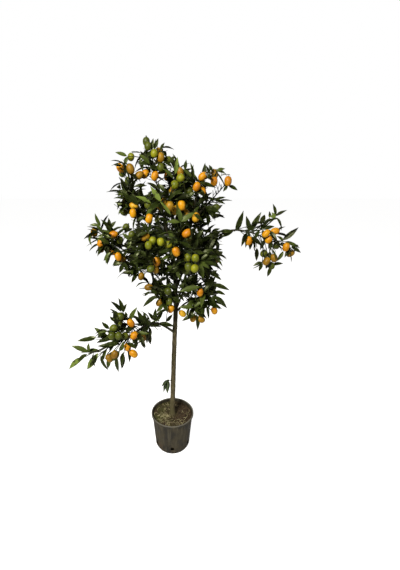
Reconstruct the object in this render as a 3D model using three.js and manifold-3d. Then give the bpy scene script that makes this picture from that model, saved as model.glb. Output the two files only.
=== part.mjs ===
// A kumquat tree in a nursery pot, in millimetres. +Z is up, +X is the side of the long fruiting arm,
// and the origin is the middle of the flat underside of the pot.
import * as THREE from 'three';
import Module from 'manifold-3d';

const wasm = await Module();
wasm.setup();
const { Manifold, Mesh } = wasm;

// ---- Pot and soil ----
const GAP = 0.3;
const POT_SIDES = 25;
const POT_HEIGHT = 248.5;
const POT_FLOOR = 4;
const POT_WALL = 2.4;
const POT_FOOT_RADIUS = 98;
const POT_HEEL_RADIUS = 105.5;
const POT_HEEL_HEIGHT = 18;
const POT_NECK_RADIUS = 119.5;
const POT_NECK_HEIGHT = 232;
const POT_RIM_RADIUS = 125.7;
const POT_RIM_INSIDE = 118.5;
const NOTCH_COUNT = 6;
const NOTCH_WIDTH = 20;
const NOTCH_BOTTOM = 38;
const NOTCH_TOP = 66;
const NOTCH_DEPTH = 14;
const SOIL_TOP = 227;
const SOIL_MOUND = 5;

// ---- Wood ----
const TRUNK_SIDES = 9;
const TRUNK_RINGS = 17;
const FLARE_RADIUS = 21;
const FLARE_HEIGHT = 45;
const BOUGH_SIDES = 5;
const BOUGH_RING_EVERY = 60;
const STEM_SIDES = 3;
const STEM_RINGS = 4;
const LONG_STEM_RINGS = 6;
const STEM_STEP = 0.035;
const TWIG_ROOT_RADIUS = 1.7;
const TWIG_TIP_RADIUS = 1.4;

// ---- Leaves and fruit ----
const LEAF_LENGTH = 82;
const LEAF_WIDTH = 32;
const LEAF_THICKNESS = 1.6;
const LEAF_BELLY = 0.42;
const LEAF_SMALL = 0.78;
const LEAF_ROLL = 0.7;
const LEAF_SUNK = 1.3;
const LEAVES_PER_TWIG = 4;
const LEAVES_PER_LONG_TWIG = 2;
const LEAVES_PER_FRUIT_TWIG = 1;
const LEAF_TRIES = 9;
const FRUIT_WIDTH = 32;
const FRUIT_LENGTH = 41;
const KNOT_SUNK = 3;
const GOLDEN_ANGLE = 2.39996;
const CELL_MARGIN = 0.4;
const LIMB_MARGIN = 0.8;

// Centre line of the trunk, from the soil to the tip, with the radius at each point.
const TRUNK = [
  [0, 0, SOIL_TOP + SOIL_MOUND + GAP, 15],
  [3, 0, 400, 14],
  [8, 0, 600, 13.2],
  [14, 0, 800, 12.2],
  [19, 3, 950, 10.8],
  [13, 10, 1100, 8.8],
  [-8, 15, 1250, 6.6],
  [-34, 11, 1370, 5],
  [-54, 3, 1475, 3.7],
];

// Each mass of foliage: its middle, its half sizes, and the path of the limb that carries it.
// The path starts on the trunk at a height, or on another limb at a share of that limb's path,
// and the part of it outside the mass is the bough. Radii are at the root and at the far end.
// A long mass names the goals of its leafy twigs; a round one has a number of twigs spread evenly.
const MASSES = [
  {
    name: 'top', middle: [-75, -10, 1565], half: [95, 90, 125], seed: 45, twigs: 2,
    from: ['trunk', 1], path: [[-62, -2, 1512], [-74, -10, 1570], [-78, -12, 1627]], radii: [3.4, 1.9],
  },
  {
    name: 'upper_right', middle: [112, -20, 1500], half: [95, 95, 88], seed: 14, twigs: 2,
    from: ['trunk', 0.62], path: [[48, 12, 1255], [90, 10, 1385], [110, -12, 1470], [118, -22, 1530]],
    radii: [5, 1.9],
  },
  {
    name: 'far_right', middle: [202, 25, 1496], half: [85, 74, 74], seed: 51, twigs: 2,
    from: ['upper_right', 0.34], path: [[120, 22, 1385], [172, 26, 1440], [208, 26, 1480], [236, 22, 1514]],
    radii: [3.4, 1.7],
  },
  {
    name: 'centre_high', middle: [0, -125, 1440], half: [120, 110, 115], seed: 17, twigs: 3,
    from: ['trunk', 0.6], path: [[10, -45, 1230], [4, -95, 1340], [-2, -125, 1420], [-4, -138, 1475]],
    radii: [4.6, 1.9],
  },
  {
    name: 'left_arm', middle: [-266, -70, 1290], half: [110, 95, 104], seed: 18, twigs: 3,
    from: ['trunk', 0.475],
    path: [
      [-60, -6, 985], [-86, -20, 1065], [-96, -28, 1135], [-160, -50, 1225], [-245, -68, 1285],
      [-296, -72, 1310],
    ],
    radii: [7.2, 2.1],
  },
  {
    name: 'upper_left', middle: [-168, -50, 1485], half: [88, 105, 128], seed: 12, twigs: 3,
    from: ['left_arm', 0.52],
    path: [[-120, -36, 1270], [-146, -48, 1370], [-166, -50, 1460], [-174, -48, 1530]], radii: [4.6, 1.9],
  },
  {
    name: 'centre_left', middle: [-110, -160, 1280], half: [105, 105, 100], seed: 19, twigs: 2,
    from: ['left_arm', 0.3],
    path: [[-88, -80, 1130], [-100, -135, 1225], [-114, -162, 1285], [-120, -172, 1325]],
    radii: [4.4, 1.9],
  },
  {
    name: 'centre', middle: [40, -205, 1290], half: [95, 95, 110], seed: 20, twigs: 2,
    from: ['trunk', 0.54], path: [[26, -70, 1125], [38, -140, 1215], [42, -200, 1285], [44, -222, 1330]],
    radii: [5, 1.9],
  },
  {
    name: 'right_mid', middle: [130, -90, 1250], half: [98, 115, 130], seed: 21, twigs: 3,
    from: ['trunk', 0.51], path: [[56, -20, 1060], [98, -48, 1150], [128, -84, 1240], [142, -98, 1310]],
    radii: [5.6, 1.9],
  },
  {
    name: 'right_reach', middle: [420, -40, 1280], half: [175, 120, 160], seed: 22,
    from: ['trunk', 0.565],
    path: [
      [72, 6, 1165], [151, -14, 1257], [225, -20, 1306], [275, -28, 1325], [345, -38, 1318], [437, -42, 1284],
      [540, -54, 1244],
    ],
    goals: [
      [295, -40, 1346], [340, -50, 1350], [395, -40, 1352], [445, -40, 1384], [545, -60, 1236],
      [435, -60, 1185], [380, -50, 1255], [340, 40, 1300], [470, 30, 1262],
    ],
    radii: [6, 2.1],
  },
  {
    name: 'lower_left', middle: [-150, -40, 1156], half: [108, 105, 80], seed: 23, twigs: 3,
    from: ['left_arm', 0.2], path: [[-120, -24, 1085], [-158, -38, 1130], [-190, -46, 1160]],
    radii: [4.2, 1.9],
  },
  {
    name: 'lower_mid', middle: [-45, -120, 1045], half: [102, 95, 95], seed: 24, twigs: 3,
    from: ['trunk', 0.49], path: [[0, -48, 1000], [-28, -100, 1036], [-52, -140, 1062]], radii: [4, 1.9],
  },
  {
    name: 'lower_right', middle: [122, -95, 1038], half: [116, 110, 112], seed: 25, twigs: 3,
    from: ['trunk', 0.465], path: [[60, -38, 972], [98, -70, 1010], [136, -96, 1036], [170, -112, 1048]],
    radii: [5, 1.9],
  },
  {
    name: 'low_left', middle: [-228, -262, 940], half: [235, 200, 150], seed: 26,
    from: ['trunk', 0.37],
    path: [
      [-56, -78, 882], [-104, -158, 926], [-146, -220, 928], [-190, -262, 914], [-295, -340, 900],
      [-342, -360, 892],
    ],
    goals: [
      [-145, -200, 972], [-95, -145, 942], [-205, -280, 1042], [-255, -330, 985], [-305, -350, 956],
      [-312, -352, 876], [-235, -320, 852], [-205, -300, 855], [-118, -236, 922], [-190, -185, 925],
      [-262, -270, 950],
    ],
    radii: [6.4, 2],
  },
  {
    name: 'heart', middle: [-15, -100, 1150], half: [85, 75, 75], seed: 27, twigs: 3,
    from: ['trunk', 0.575], path: [[-14, -34, 1095], [-24, -85, 1138], [-24, -122, 1168]], radii: [3.6, 1.9],
  },
  {
    name: 'back_top', middle: [10, 85, 1505], half: [115, 95, 115], seed: 31, twigs: 3,
    from: ['trunk', 0.74], path: [[2, 50, 1325], [6, 76, 1430], [10, 86, 1500], [12, 92, 1555]],
    radii: [4.2, 1.9],
  },
  {
    name: 'back_left_high', middle: [-140, 105, 1400], half: [115, 110, 120], seed: 32, twigs: 3,
    from: ['trunk', 0.64], path: [[-50, 60, 1240], [-104, 88, 1330], [-142, 106, 1400], [-162, 118, 1450]],
    radii: [4.4, 1.9],
  },
  {
    name: 'back_right_high', middle: [130, 130, 1370], half: [120, 115, 120], seed: 33, twigs: 3,
    from: ['trunk', 0.59], path: [[60, 60, 1190], [105, 98, 1285], [130, 130, 1365], [150, 148, 1420]],
    radii: [4.6, 1.9],
  },
  {
    name: 'back_left_low', middle: [-150, 120, 1170], half: [120, 120, 110], seed: 34, twigs: 3,
    from: ['trunk', 0.5], path: [[-44, 44, 1040], [-100, 88, 1110], [-150, 122, 1172], [-192, 142, 1206]],
    radii: [4.8, 1.9],
  },
  {
    name: 'back_right_low', middle: [130, 120, 1130], half: [130, 120, 120], seed: 35, twigs: 3,
    from: ['trunk', 0.47], path: [[56, 50, 1000], [98, 88, 1070], [130, 122, 1132], [162, 148, 1180]],
    radii: [4.8, 1.9],
  },
  {
    name: 'back_middle', middle: [-10, 185, 1270], half: [110, 110, 120], seed: 36, twigs: 3,
    from: ['trunk', 0.55], path: [[0, 82, 1130], [-10, 140, 1200], [-12, 186, 1270], [-12, 212, 1330]],
    radii: [4.6, 1.9],
  },
];

// Fruit: the middle of each, and its lean from upright towards +X in degrees.
// Each is borne by the mass whose space it hangs in.
const FRUIT = [
  [-100, 0, 1668, 0], [-92, -30, 1651, 15], [-67, -42, 1625, 10], [-42, -30, 1611, 0],
  [-55, 15, 1629, 30], [-15, 10, 1602, 70], [-42, -62, 1575, -20], [-129, -62, 1547, 60],
  [-108, -30, 1551, 45], [-65, -80, 1546, 15], [-165, 0, 1613, 20], [-208, -20, 1572, -35],
  [-159, -84, 1571, -15], [-207, 20, 1552, 40], [-180, -18, 1524, 15], [36, -50, 1559, -20],
  [36, -106, 1539, 45], [14, -128, 1516, 5], [4, -60, 1491, 10], [126, -60, 1543, 50],
  [102, -75, 1506, 25], [126, -50, 1491, -40], [74, -45, 1487, 30], [184, 32, 1549, -20],
  [175, -44, 1523, 5], [237, -10, 1523, 0], [195, 0, 1418, 90], [40, -200, 1450, -10],
  [57, -170, 1417, -60], [97, -165, 1401, 15], [-23, -165, 1454, -50], [-46, -130, 1439, -50],
  [-5, -218, 1448, 10], [17, -170, 1428, 20], [-92, -140, 1445, 0], [-153, -90, 1435, -70],
  [-156, -108, 1408, 0], [-197, -80, 1408, -70], [-86, -180, 1399, 20], [-196, -60, 1344, 40],
  [-240, -120, 1326, 85], [-298, -115, 1289, 40], [-306, -85, 1258, 30], [-338, -50, 1319, 0],
  [-221, -95, 1296, 0], [-230, -115, 1230, -20], [-217, -80, 1209, 20], [-262, -85, 1245, -60],
  [-162, -140, 1329, 30], [-102, -205, 1334, 60], [-87, -240, 1309, 0], [-73, -203, 1318, 30],
  [-39, -255, 1326, -10], [-11, -225, 1308, 80], [19, -280, 1295, -20], [60, -260, 1359, 60],
  [-58, -200, 1234, 0], [-65, -196, 1199, 0], [-84, -218, 1208, 60], [65, -232, 1259, 20],
  [94, -260, 1264, 0], [68, -262, 1230, -20], [91, -282, 1230, 10], [60, -215, 1200, 30],
  [200, -70, 1201, 60], [334, -80, 1290, 5], [404, -85, 1322, 45], [445, -70, 1329, 80],
  [422, -74, 1294, 30], [500, -80, 1263, 10], [536, -45, 1225, 60], [473, -30, 1258, 0],
  [417, -40, 1224, 30], [420, -90, 1202, 30], [454, -80, 1214, -20], [453, -60, 1172, -20],
  [-139, -80, 1129, 15], [-103, -122, 1092, 80], [-15, -185, 1098, 20], [-10, -175, 1045, 0],
  [-4, -165, 1005, 15], [-55, -140, 1025, 40], [123, -185, 1092, 5], [50, -116, 958, -50],
  [101, -120, 935, 20], [135, -150, 945, -60], [200, -105, 969, -15], [-204, -325, 1045, 30],
  [-215, -290, 1002, 0], [-166, -305, 1006, -30], [-231, -340, 1001, 50], [-235, -368, 982, 0],
  [-206, -378, 987, 10], [-189, -345, 967, 80], [-153, -328, 960, 45], [-129, -240, 900, -20],
  [-180, -345, 915, -5], [-154, -368, 898, -40], [-232, -365, 892, 20], [-260, -345, 861, -20],
  [-20, 125, 1535, 10], [-170, 155, 1420, 20], [160, 180, 1395, 0], [-180, 170, 1160, 10],
  [170, 160, 1120, -10], [-40, 225, 1270, 0],
];

// The few leaves of the shoot low on the trunk: root on the trunk, then bearing and drop of each leaf.
const SPROUT_HEIGHT = 478;
const SPROUT_REACH = 17;
const SPROUT_LEAF_WIDTH = 25;
const SPROUT_LEAVES = [[262, 1.9, 86], [215, 1.5, 80], [150, 1.2, 66], [95, 1.1, 56], [238, 0.4, 52]];

const COLOURS = {
  pot: [0x2b2b2a, 0.7],
  soil: [0x4a3d2b, 0.95],
  trunk: [0x8a7a62, 0.85],
  bough: [0x6d6248, 0.85],
  foliage: [0x2f5a26, 0.5],
};

// ---- Solids ----
const UP = new THREE.Vector3(0, 0, 1);

function vector(point) {
  return new THREE.Vector3(point[0], point[1], point[2]);
}

function solidFrom(points, faces) {
  const vertProperties = new Float32Array(points.length * 3);
  points.forEach((point, index) => point.toArray(vertProperties, index * 3));
  const triVerts = new Uint32Array(faces.flat());
  return new Manifold(new Mesh({ numProp: 3, vertProperties, triVerts }));
}

function toManifold(geometry) {
  const position = geometry.getAttribute('position');
  const seen = new Map();
  const points = [];
  const corners = [];
  for (let i = 0; i < position.count; i += 1) {
    const point = new THREE.Vector3().fromBufferAttribute(position, i);
    const key = point.toArray().map((value) => Math.round(value * 1000)).join();
    if (!seen.has(key)) {
      seen.set(key, points.length);
      points.push(point);
    }
    corners.push(seen.get(key));
  }
  const order = geometry.index ? Array.from(geometry.index.array) : corners.map((_, i) => i);
  const faces = [];
  for (let i = 0; i < order.length; i += 3) {
    const face = [corners[order[i]], corners[order[i + 1]], corners[order[i + 2]]];
    if (new Set(face).size === 3) faces.push(face);
  }
  return solidFrom(points, faces);
}

// Largest outer body of a solid: loose scraps and sealed hollows are left out.
function outerBody(solid) {
  const bodies = solid.simplify(0.02).decompose();
  return bodies.reduce((best, body) => (body.volume() > best.volume() ? body : best));
}

function toMesh(name, solid, look) {
  const made = solid.getMesh();
  const geometry = new THREE.BufferGeometry();
  geometry.setAttribute('position', new THREE.BufferAttribute(new Float32Array(made.vertProperties), 3));
  geometry.setIndex(new THREE.BufferAttribute(new Uint32Array(made.triVerts), 1));
  geometry.computeVertexNormals();
  const [color, roughness] = COLOURS[look];
  const mesh = new THREE.Mesh(geometry, new THREE.MeshStandardMaterial({ color, roughness }));
  mesh.material.name = look;
  mesh.name = name;
  return mesh;
}

// A tube of flat faces through rings of points; frames turn as little as they can along it.
function tube(points, tangents, radii, sides) {
  const vertices = [];
  const faces = [];
  let across = new THREE.Vector3(0.31, 0.17, 0.93).cross(tangents[0]).normalize();
  points.forEach((point, ring) => {
    const tangent = tangents[ring];
    across = across.clone().addScaledVector(tangent, -across.dot(tangent)).normalize();
    const other = tangent.clone().cross(across);
    for (let k = 0; k < sides; k += 1) {
      const angle = (2 * Math.PI * k) / sides;
      vertices.push(point.clone()
        .addScaledVector(across, radii[ring] * Math.cos(angle))
        .addScaledVector(other, radii[ring] * Math.sin(angle)));
    }
  });
  for (let ring = 0; ring + 1 < points.length; ring += 1) {
    for (let k = 0; k < sides; k += 1) {
      const a = ring * sides + k;
      const b = ring * sides + ((k + 1) % sides);
      faces.push([a, b, b + sides], [a, b + sides, a + sides]);
    }
  }
  const top = (points.length - 1) * sides;
  for (let k = 1; k + 1 < sides; k += 1) {
    faces.push([0, k + 1, k], [top, top + k, top + k + 1]);
  }
  return { vertices, faces };
}

function limbCurve(points) {
  return new THREE.CatmullRomCurve3(points, false, 'catmullrom', 0.5);
}

function limbTube(curve, from, to, rings, radius, sides, start = 0) {
  const points = [];
  const tangents = [];
  const radii = [];
  for (let i = 0; i < rings; i += 1) {
    const t = from + ((to - from) * i) / (rings - 1);
    points.push(curve.getPoint(t));
    tangents.push(curve.getTangent(t));
    radii.push(radius(t));
  }
  points[0].addScaledVector(tangents[0], start);
  return tube(points, tangents, radii, sides);
}

// ---- Pot, soil and trunk ----
function potProfile() {
  const taper = (POT_NECK_RADIUS - POT_HEEL_RADIUS) / (POT_NECK_HEIGHT - POT_HEEL_HEIGHT);
  const insideFoot = POT_HEEL_RADIUS - POT_WALL + taper * (POT_FLOOR + 14 - POT_HEEL_HEIGHT);
  return [
    [0, 0], [POT_FOOT_RADIUS, 0], [POT_HEEL_RADIUS, POT_HEEL_HEIGHT], [POT_NECK_RADIUS, POT_NECK_HEIGHT],
    [POT_RIM_RADIUS, POT_NECK_HEIGHT + 2], [POT_RIM_RADIUS, POT_HEIGHT - 3],
    [POT_RIM_RADIUS - 3, POT_HEIGHT], [POT_RIM_INSIDE, POT_HEIGHT],
    [insideFoot, POT_FLOOR + 14],
    [POT_FOOT_RADIUS - 6, POT_FLOOR], [0, POT_FLOOR],
  ];
}

function lathe(profile, sides) {
  return toManifold(new THREE.LatheGeometry(profile.map(([r, z]) => new THREE.Vector2(r, z)), sides))
    .rotate([90, 0, 0]);
}

function potSolid() {
  let pot = lathe(potProfile(), POT_SIDES);
  const arch = new THREE.Shape();
  const half = NOTCH_WIDTH / 2;
  arch.moveTo(-half, NOTCH_BOTTOM);
  arch.lineTo(half, NOTCH_BOTTOM);
  arch.lineTo(half, NOTCH_TOP - half);
  arch.lineTo(half * 0.5, NOTCH_TOP - half * 0.25);
  arch.lineTo(-half * 0.5, NOTCH_TOP - half * 0.25);
  arch.lineTo(-half, NOTCH_TOP - half);
  for (let k = 0; k < NOTCH_COUNT; k += 1) {
    const cut = new THREE.ExtrudeGeometry(arch, { depth: 40, bevelEnabled: false });
    cut.rotateX(Math.PI / 2);
    cut.translate(0, -(POT_HEEL_RADIUS - NOTCH_DEPTH), 0);
    cut.rotateZ((2 * Math.PI * k) / NOTCH_COUNT);
    pot = pot.subtract(toManifold(cut));
  }
  return pot;
}

function soilSolid() {
  const taper = (POT_NECK_RADIUS - POT_HEEL_RADIUS) / (POT_NECK_HEIGHT - POT_HEEL_HEIGHT);
  const clear = POT_WALL + GAP + 0.1;
  const edge = POT_NECK_RADIUS - clear + taper * (SOIL_TOP - POT_NECK_HEIGHT);
  const flat = SOIL_TOP + SOIL_MOUND;
  const besideNotch = POT_HEEL_RADIUS - NOTCH_DEPTH - GAP - 1;
  return lathe([
    [0, POT_FLOOR + GAP], [POT_FOOT_RADIUS - NOTCH_DEPTH, POT_FLOOR + GAP],
    [besideNotch, NOTCH_BOTTOM - 8], [besideNotch, NOTCH_TOP + 2],
    [POT_HEEL_RADIUS - clear + taper * (NOTCH_TOP + 12 - POT_HEEL_HEIGHT), NOTCH_TOP + 12],
    [edge, SOIL_TOP - 3], [edge * 0.8, SOIL_TOP], [45, SOIL_TOP + 1], [26, flat], [0, flat],
  ], POT_SIDES);
}

const trunkCurve = limbCurve(TRUNK.map(vector));

function trunkRadius(t) {
  const place = Math.min(t * (TRUNK.length - 1), TRUNK.length - 1.000001);
  const index = Math.floor(place);
  const radius = THREE.MathUtils.lerp(TRUNK[index][3], TRUNK[index + 1][3], place - index);
  const height = trunkCurve.getPoint(t).z - TRUNK[0][2];
  const flare = Math.max(0, 1 - height / FLARE_HEIGHT);
  return radius + (FLARE_RADIUS - TRUNK[0][3]) * flare * flare;
}

// The trunk starts as a level cut on the soil, so its first ring is flat and the rings close up near it.
function trunkTube(extra) {
  const points = [];
  const tangents = [];
  const radii = [];
  for (let i = 0; i < TRUNK_RINGS; i += 1) {
    const t = (i / (TRUNK_RINGS - 1)) ** 1.35;
    points.push(trunkCurve.getPoint(t));
    tangents.push(i === 0 ? new THREE.Vector3(0, 0, 1) : trunkCurve.getTangent(t));
    radii.push(trunkRadius(t) + extra);
  }
  return tube(points, tangents, radii, TRUNK_SIDES);
}

// ---- Spaces of the masses ----
const CELLS = MASSES.map(({ name, middle, half }) => ({
  name,
  middle: vector(middle),
  half: vector(half),
  pull: ((half[0] + half[1] + half[2]) / 3) ** 2,
}));

// Distance from a point to the nearest wall between its own mass and a neighbour, less than zero outside.
function roomAround(cell, point) {
  let room = Infinity;
  const own = point.distanceToSquared(cell.middle) - cell.pull;
  for (const other of CELLS) {
    if (other !== cell) {
      const theirs = point.distanceToSquared(other.middle) - other.pull;
      room = Math.min(room, (theirs - own) / (2 * other.middle.distanceTo(cell.middle)));
    }
  }
  return room;
}

function withinReach(cell, point, share) {
  return point.clone().sub(cell.middle).divide(cell.half).length() <= share;
}

// ---- Limbs: one path for each mass, cut into a bough outside it and a stem inside it ----
const LIMBS = new Map();
LIMBS.set('trunk', { curve: trunkCurve, end: 1, radius: trunkRadius });

function planLimb(mass, cell) {
  const [parentName, share] = mass.from;
  const parent = LIMBS.get(parentName);
  const root = parent.curve.getPoint(share);
  const curve = limbCurve([root, ...mass.path.map(vector)]);
  const [rootRadius, tipRadius] = mass.radii;
  const radius = (t) => THREE.MathUtils.lerp(rootRadius, tipRadius, t);
  let entry = 0.98;
  const held = (t) => {
    const point = curve.getPoint(t);
    return roomAround(cell, point) > radius(t) + 3 && (t > 0.7 || withinReach(cell, point, 0.95));
  };
  while (entry > 0 && held(entry)) entry -= 0.005;
  const end = share === 1 ? 0 : entry;
  LIMBS.set(mass.name, { curve, end, radius, parentName });
}

MASSES.forEach((mass, index) => planLimb(mass, CELLS[index]));

function limbSegments() {
  const segments = [];
  for (const { curve, end, radius } of LIMBS.values()) {
    const steps = end > 0 ? 14 : 0;
    for (let i = 0; i < steps; i += 1) {
      const from = (end * i) / steps;
      const to = (end * (i + 1)) / steps;
      segments.push({ a: curve.getPoint(from), b: curve.getPoint(to), radius: radius(from) });
    }
  }
  return segments;
}

const SEGMENTS = limbSegments();

// Shortest distance between two straight pieces, by closing in on the nearest pair of points.
function pieceDistance(a, b, c, d) {
  const first = b.clone().sub(a);
  const second = d.clone().sub(c);
  let s = 0.5;
  let t = 0.5;
  for (let pass = 0; pass < 6; pass += 1) {
    const onSecond = c.clone().addScaledVector(second, t);
    s = THREE.MathUtils.clamp(onSecond.sub(a).dot(first) / first.lengthSq(), 0, 1);
    const onFirst = a.clone().addScaledVector(first, s);
    t = THREE.MathUtils.clamp(onFirst.sub(c).dot(second) / second.lengthSq(), 0, 1);
  }
  return a.clone().addScaledVector(first, s).distanceTo(c.clone().addScaledVector(second, t));
}

function clearOfLimbs(from, to, thickness) {
  return SEGMENTS.every(({ a, b, radius }) => (
    pieceDistance(from, to, a, b) > radius + thickness + LIMB_MARGIN
  ));
}

// ---- Leaves, fruit and twigs ----
function mulberry(seed) {
  let state = seed * 7919;
  return () => {
    state = (state + 0x6d2b79f5) | 0;
    let mixed = Math.imul(state ^ (state >>> 15), 1 | state);
    mixed = (mixed + Math.imul(mixed ^ (mixed >>> 7), 61 | mixed)) ^ mixed;
    return ((mixed ^ (mixed >>> 14)) >>> 0) / 4294967296;
  };
}

function leafShape(root, direction, facing, length, width) {
  const up = facing.clone().addScaledVector(direction, -facing.dot(direction)).normalize();
  const side = direction.clone().cross(up);
  const belly = root.clone()
    .addScaledVector(direction, length * LEAF_BELLY)
    .addScaledVector(up, length * 0.03);
  const tip = root.clone().addScaledVector(direction, length).addScaledVector(up, -length * 0.1);
  const vertices = [
    root.clone(),
    belly.clone().addScaledVector(side, width / 2),
    belly.clone().addScaledVector(side, -width / 2),
    belly.clone().addScaledVector(up, -LEAF_THICKNESS),
    tip,
  ];
  const faces = [[0, 1, 2], [4, 2, 1], [0, 3, 1], [0, 2, 3], [4, 1, 3], [4, 3, 2]];
  return { vertices, faces, from: root.clone().lerp(tip, 0.35), to: tip };
}

// A fruit of twenty faces on four staggered rings of three points, with a small flat crown.
function fruitShape(crown, axis) {
  const across = new THREE.Vector3(0.9, 0.3, 0.1).cross(axis).normalize();
  const other = axis.clone().cross(across);
  const along = (share) => crown.clone().addScaledVector(axis, -FRUIT_LENGTH * share);
  const ring = (share, width, turn) => [0, 1, 2].map((k) => {
    const angle = (2 * Math.PI * k) / 3 + turn;
    return along(share)
      .addScaledVector(across, FRUIT_WIDTH * width * Math.cos(angle))
      .addScaledVector(other, FRUIT_WIDTH * width * Math.sin(angle));
  });
  const turn = Math.PI / 3;
  const vertices = [
    ...ring(0.03, 0.33, 0), ...ring(0.36, 0.515, turn), ...ring(0.66, 0.515, 0), ...ring(0.98, 0.32, turn),
  ];
  const faces = [[0, 1, 2], [9, 11, 10]];
  for (let k = 0; k < 3; k += 1) {
    const next = (k + 1) % 3;
    const low = 9 + ((k + 2) % 3);
    faces.push(
      [k, 3 + k, next], [next, 3 + k, 6 + next], [k, 6 + k, 3 + k], [3 + k, 6 + k, 9 + k],
      [3 + k, 9 + k, 6 + next], [6 + k, low, 9 + k],
    );
  }
  return { vertices, faces, from: along(0.25), to: along(0.75) };
}

function twigShape(points, radii) {
  const tangents = points.map((point, i) => {
    const before = points[Math.max(0, i - 1)];
    const after = points[Math.min(points.length - 1, i + 1)];
    return after.clone().sub(before).normalize();
  });
  return tube(points, tangents, radii, 3);
}

// Direction that leaves a twig through the middle of one of its three faces.
function offTwig(points, tilt, rank) {
  let across = new THREE.Vector3(0.31, 0.17, 0.93).cross(points[1].clone().sub(points[0])).normalize();
  const along = points.at(-1).clone().sub(points.at(-2)).normalize();
  across = across.addScaledVector(along, -across.dot(along)).normalize();
  const other = along.clone().cross(across);
  const bearing = Math.PI / 3 + rank * (2 * Math.PI / 3);
  return along.multiplyScalar(Math.cos(tilt))
    .addScaledVector(across, Math.sin(tilt) * Math.cos(bearing))
    .addScaledVector(other, Math.sin(tilt) * Math.sin(bearing));
}

function turned(axis, tilt, bearing) {
  const across = new THREE.Vector3(0.31, 0.17, 0.93).cross(axis).normalize();
  const other = axis.clone().cross(across);
  return axis.clone().multiplyScalar(Math.cos(tilt))
    .addScaledVector(across, Math.sin(tilt) * Math.cos(bearing))
    .addScaledVector(other, Math.sin(tilt) * Math.sin(bearing));
}

// Point on a limb from which a twig can reach a goal while still leaning the way the limb grows.
function branchPoint(curve, start, goal, back) {
  let near = start;
  for (let t = start; t <= 1; t += 0.02) {
    if (curve.getPoint(t).distanceTo(goal) < curve.getPoint(near).distanceTo(goal)) near = t;
  }
  return Math.max(start + (1 - start) * 0.1, near - back * (1 - start));
}

// True where an edge of one shape passes through a face of the other.
function edgeCrossing(shape, other) {
  const ray = new THREE.Ray();
  const hit = new THREE.Vector3();
  return shape.faces.some(([i, j, k]) => [[i, j], [j, k], [k, i]].some(([from, to]) => {
    if (from > to) return false;
    const span = shape.vertices[to].clone().sub(shape.vertices[from]);
    ray.set(shape.vertices[from], span.clone().normalize());
    return other.faces.some(([a, b, c]) => (
      ray.intersectTriangle(other.vertices[a], other.vertices[b], other.vertices[c], false, hit) !== null
      && hit.distanceTo(shape.vertices[from]) <= span.length()
    ));
  }));
}

function crosses(shape, other) {
  const gap = shape.ball.center.distanceTo(other.ball.center) - shape.ball.radius - other.ball.radius;
  return gap < 0 && (edgeCrossing(shape, other) || edgeCrossing(other, shape));
}

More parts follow.
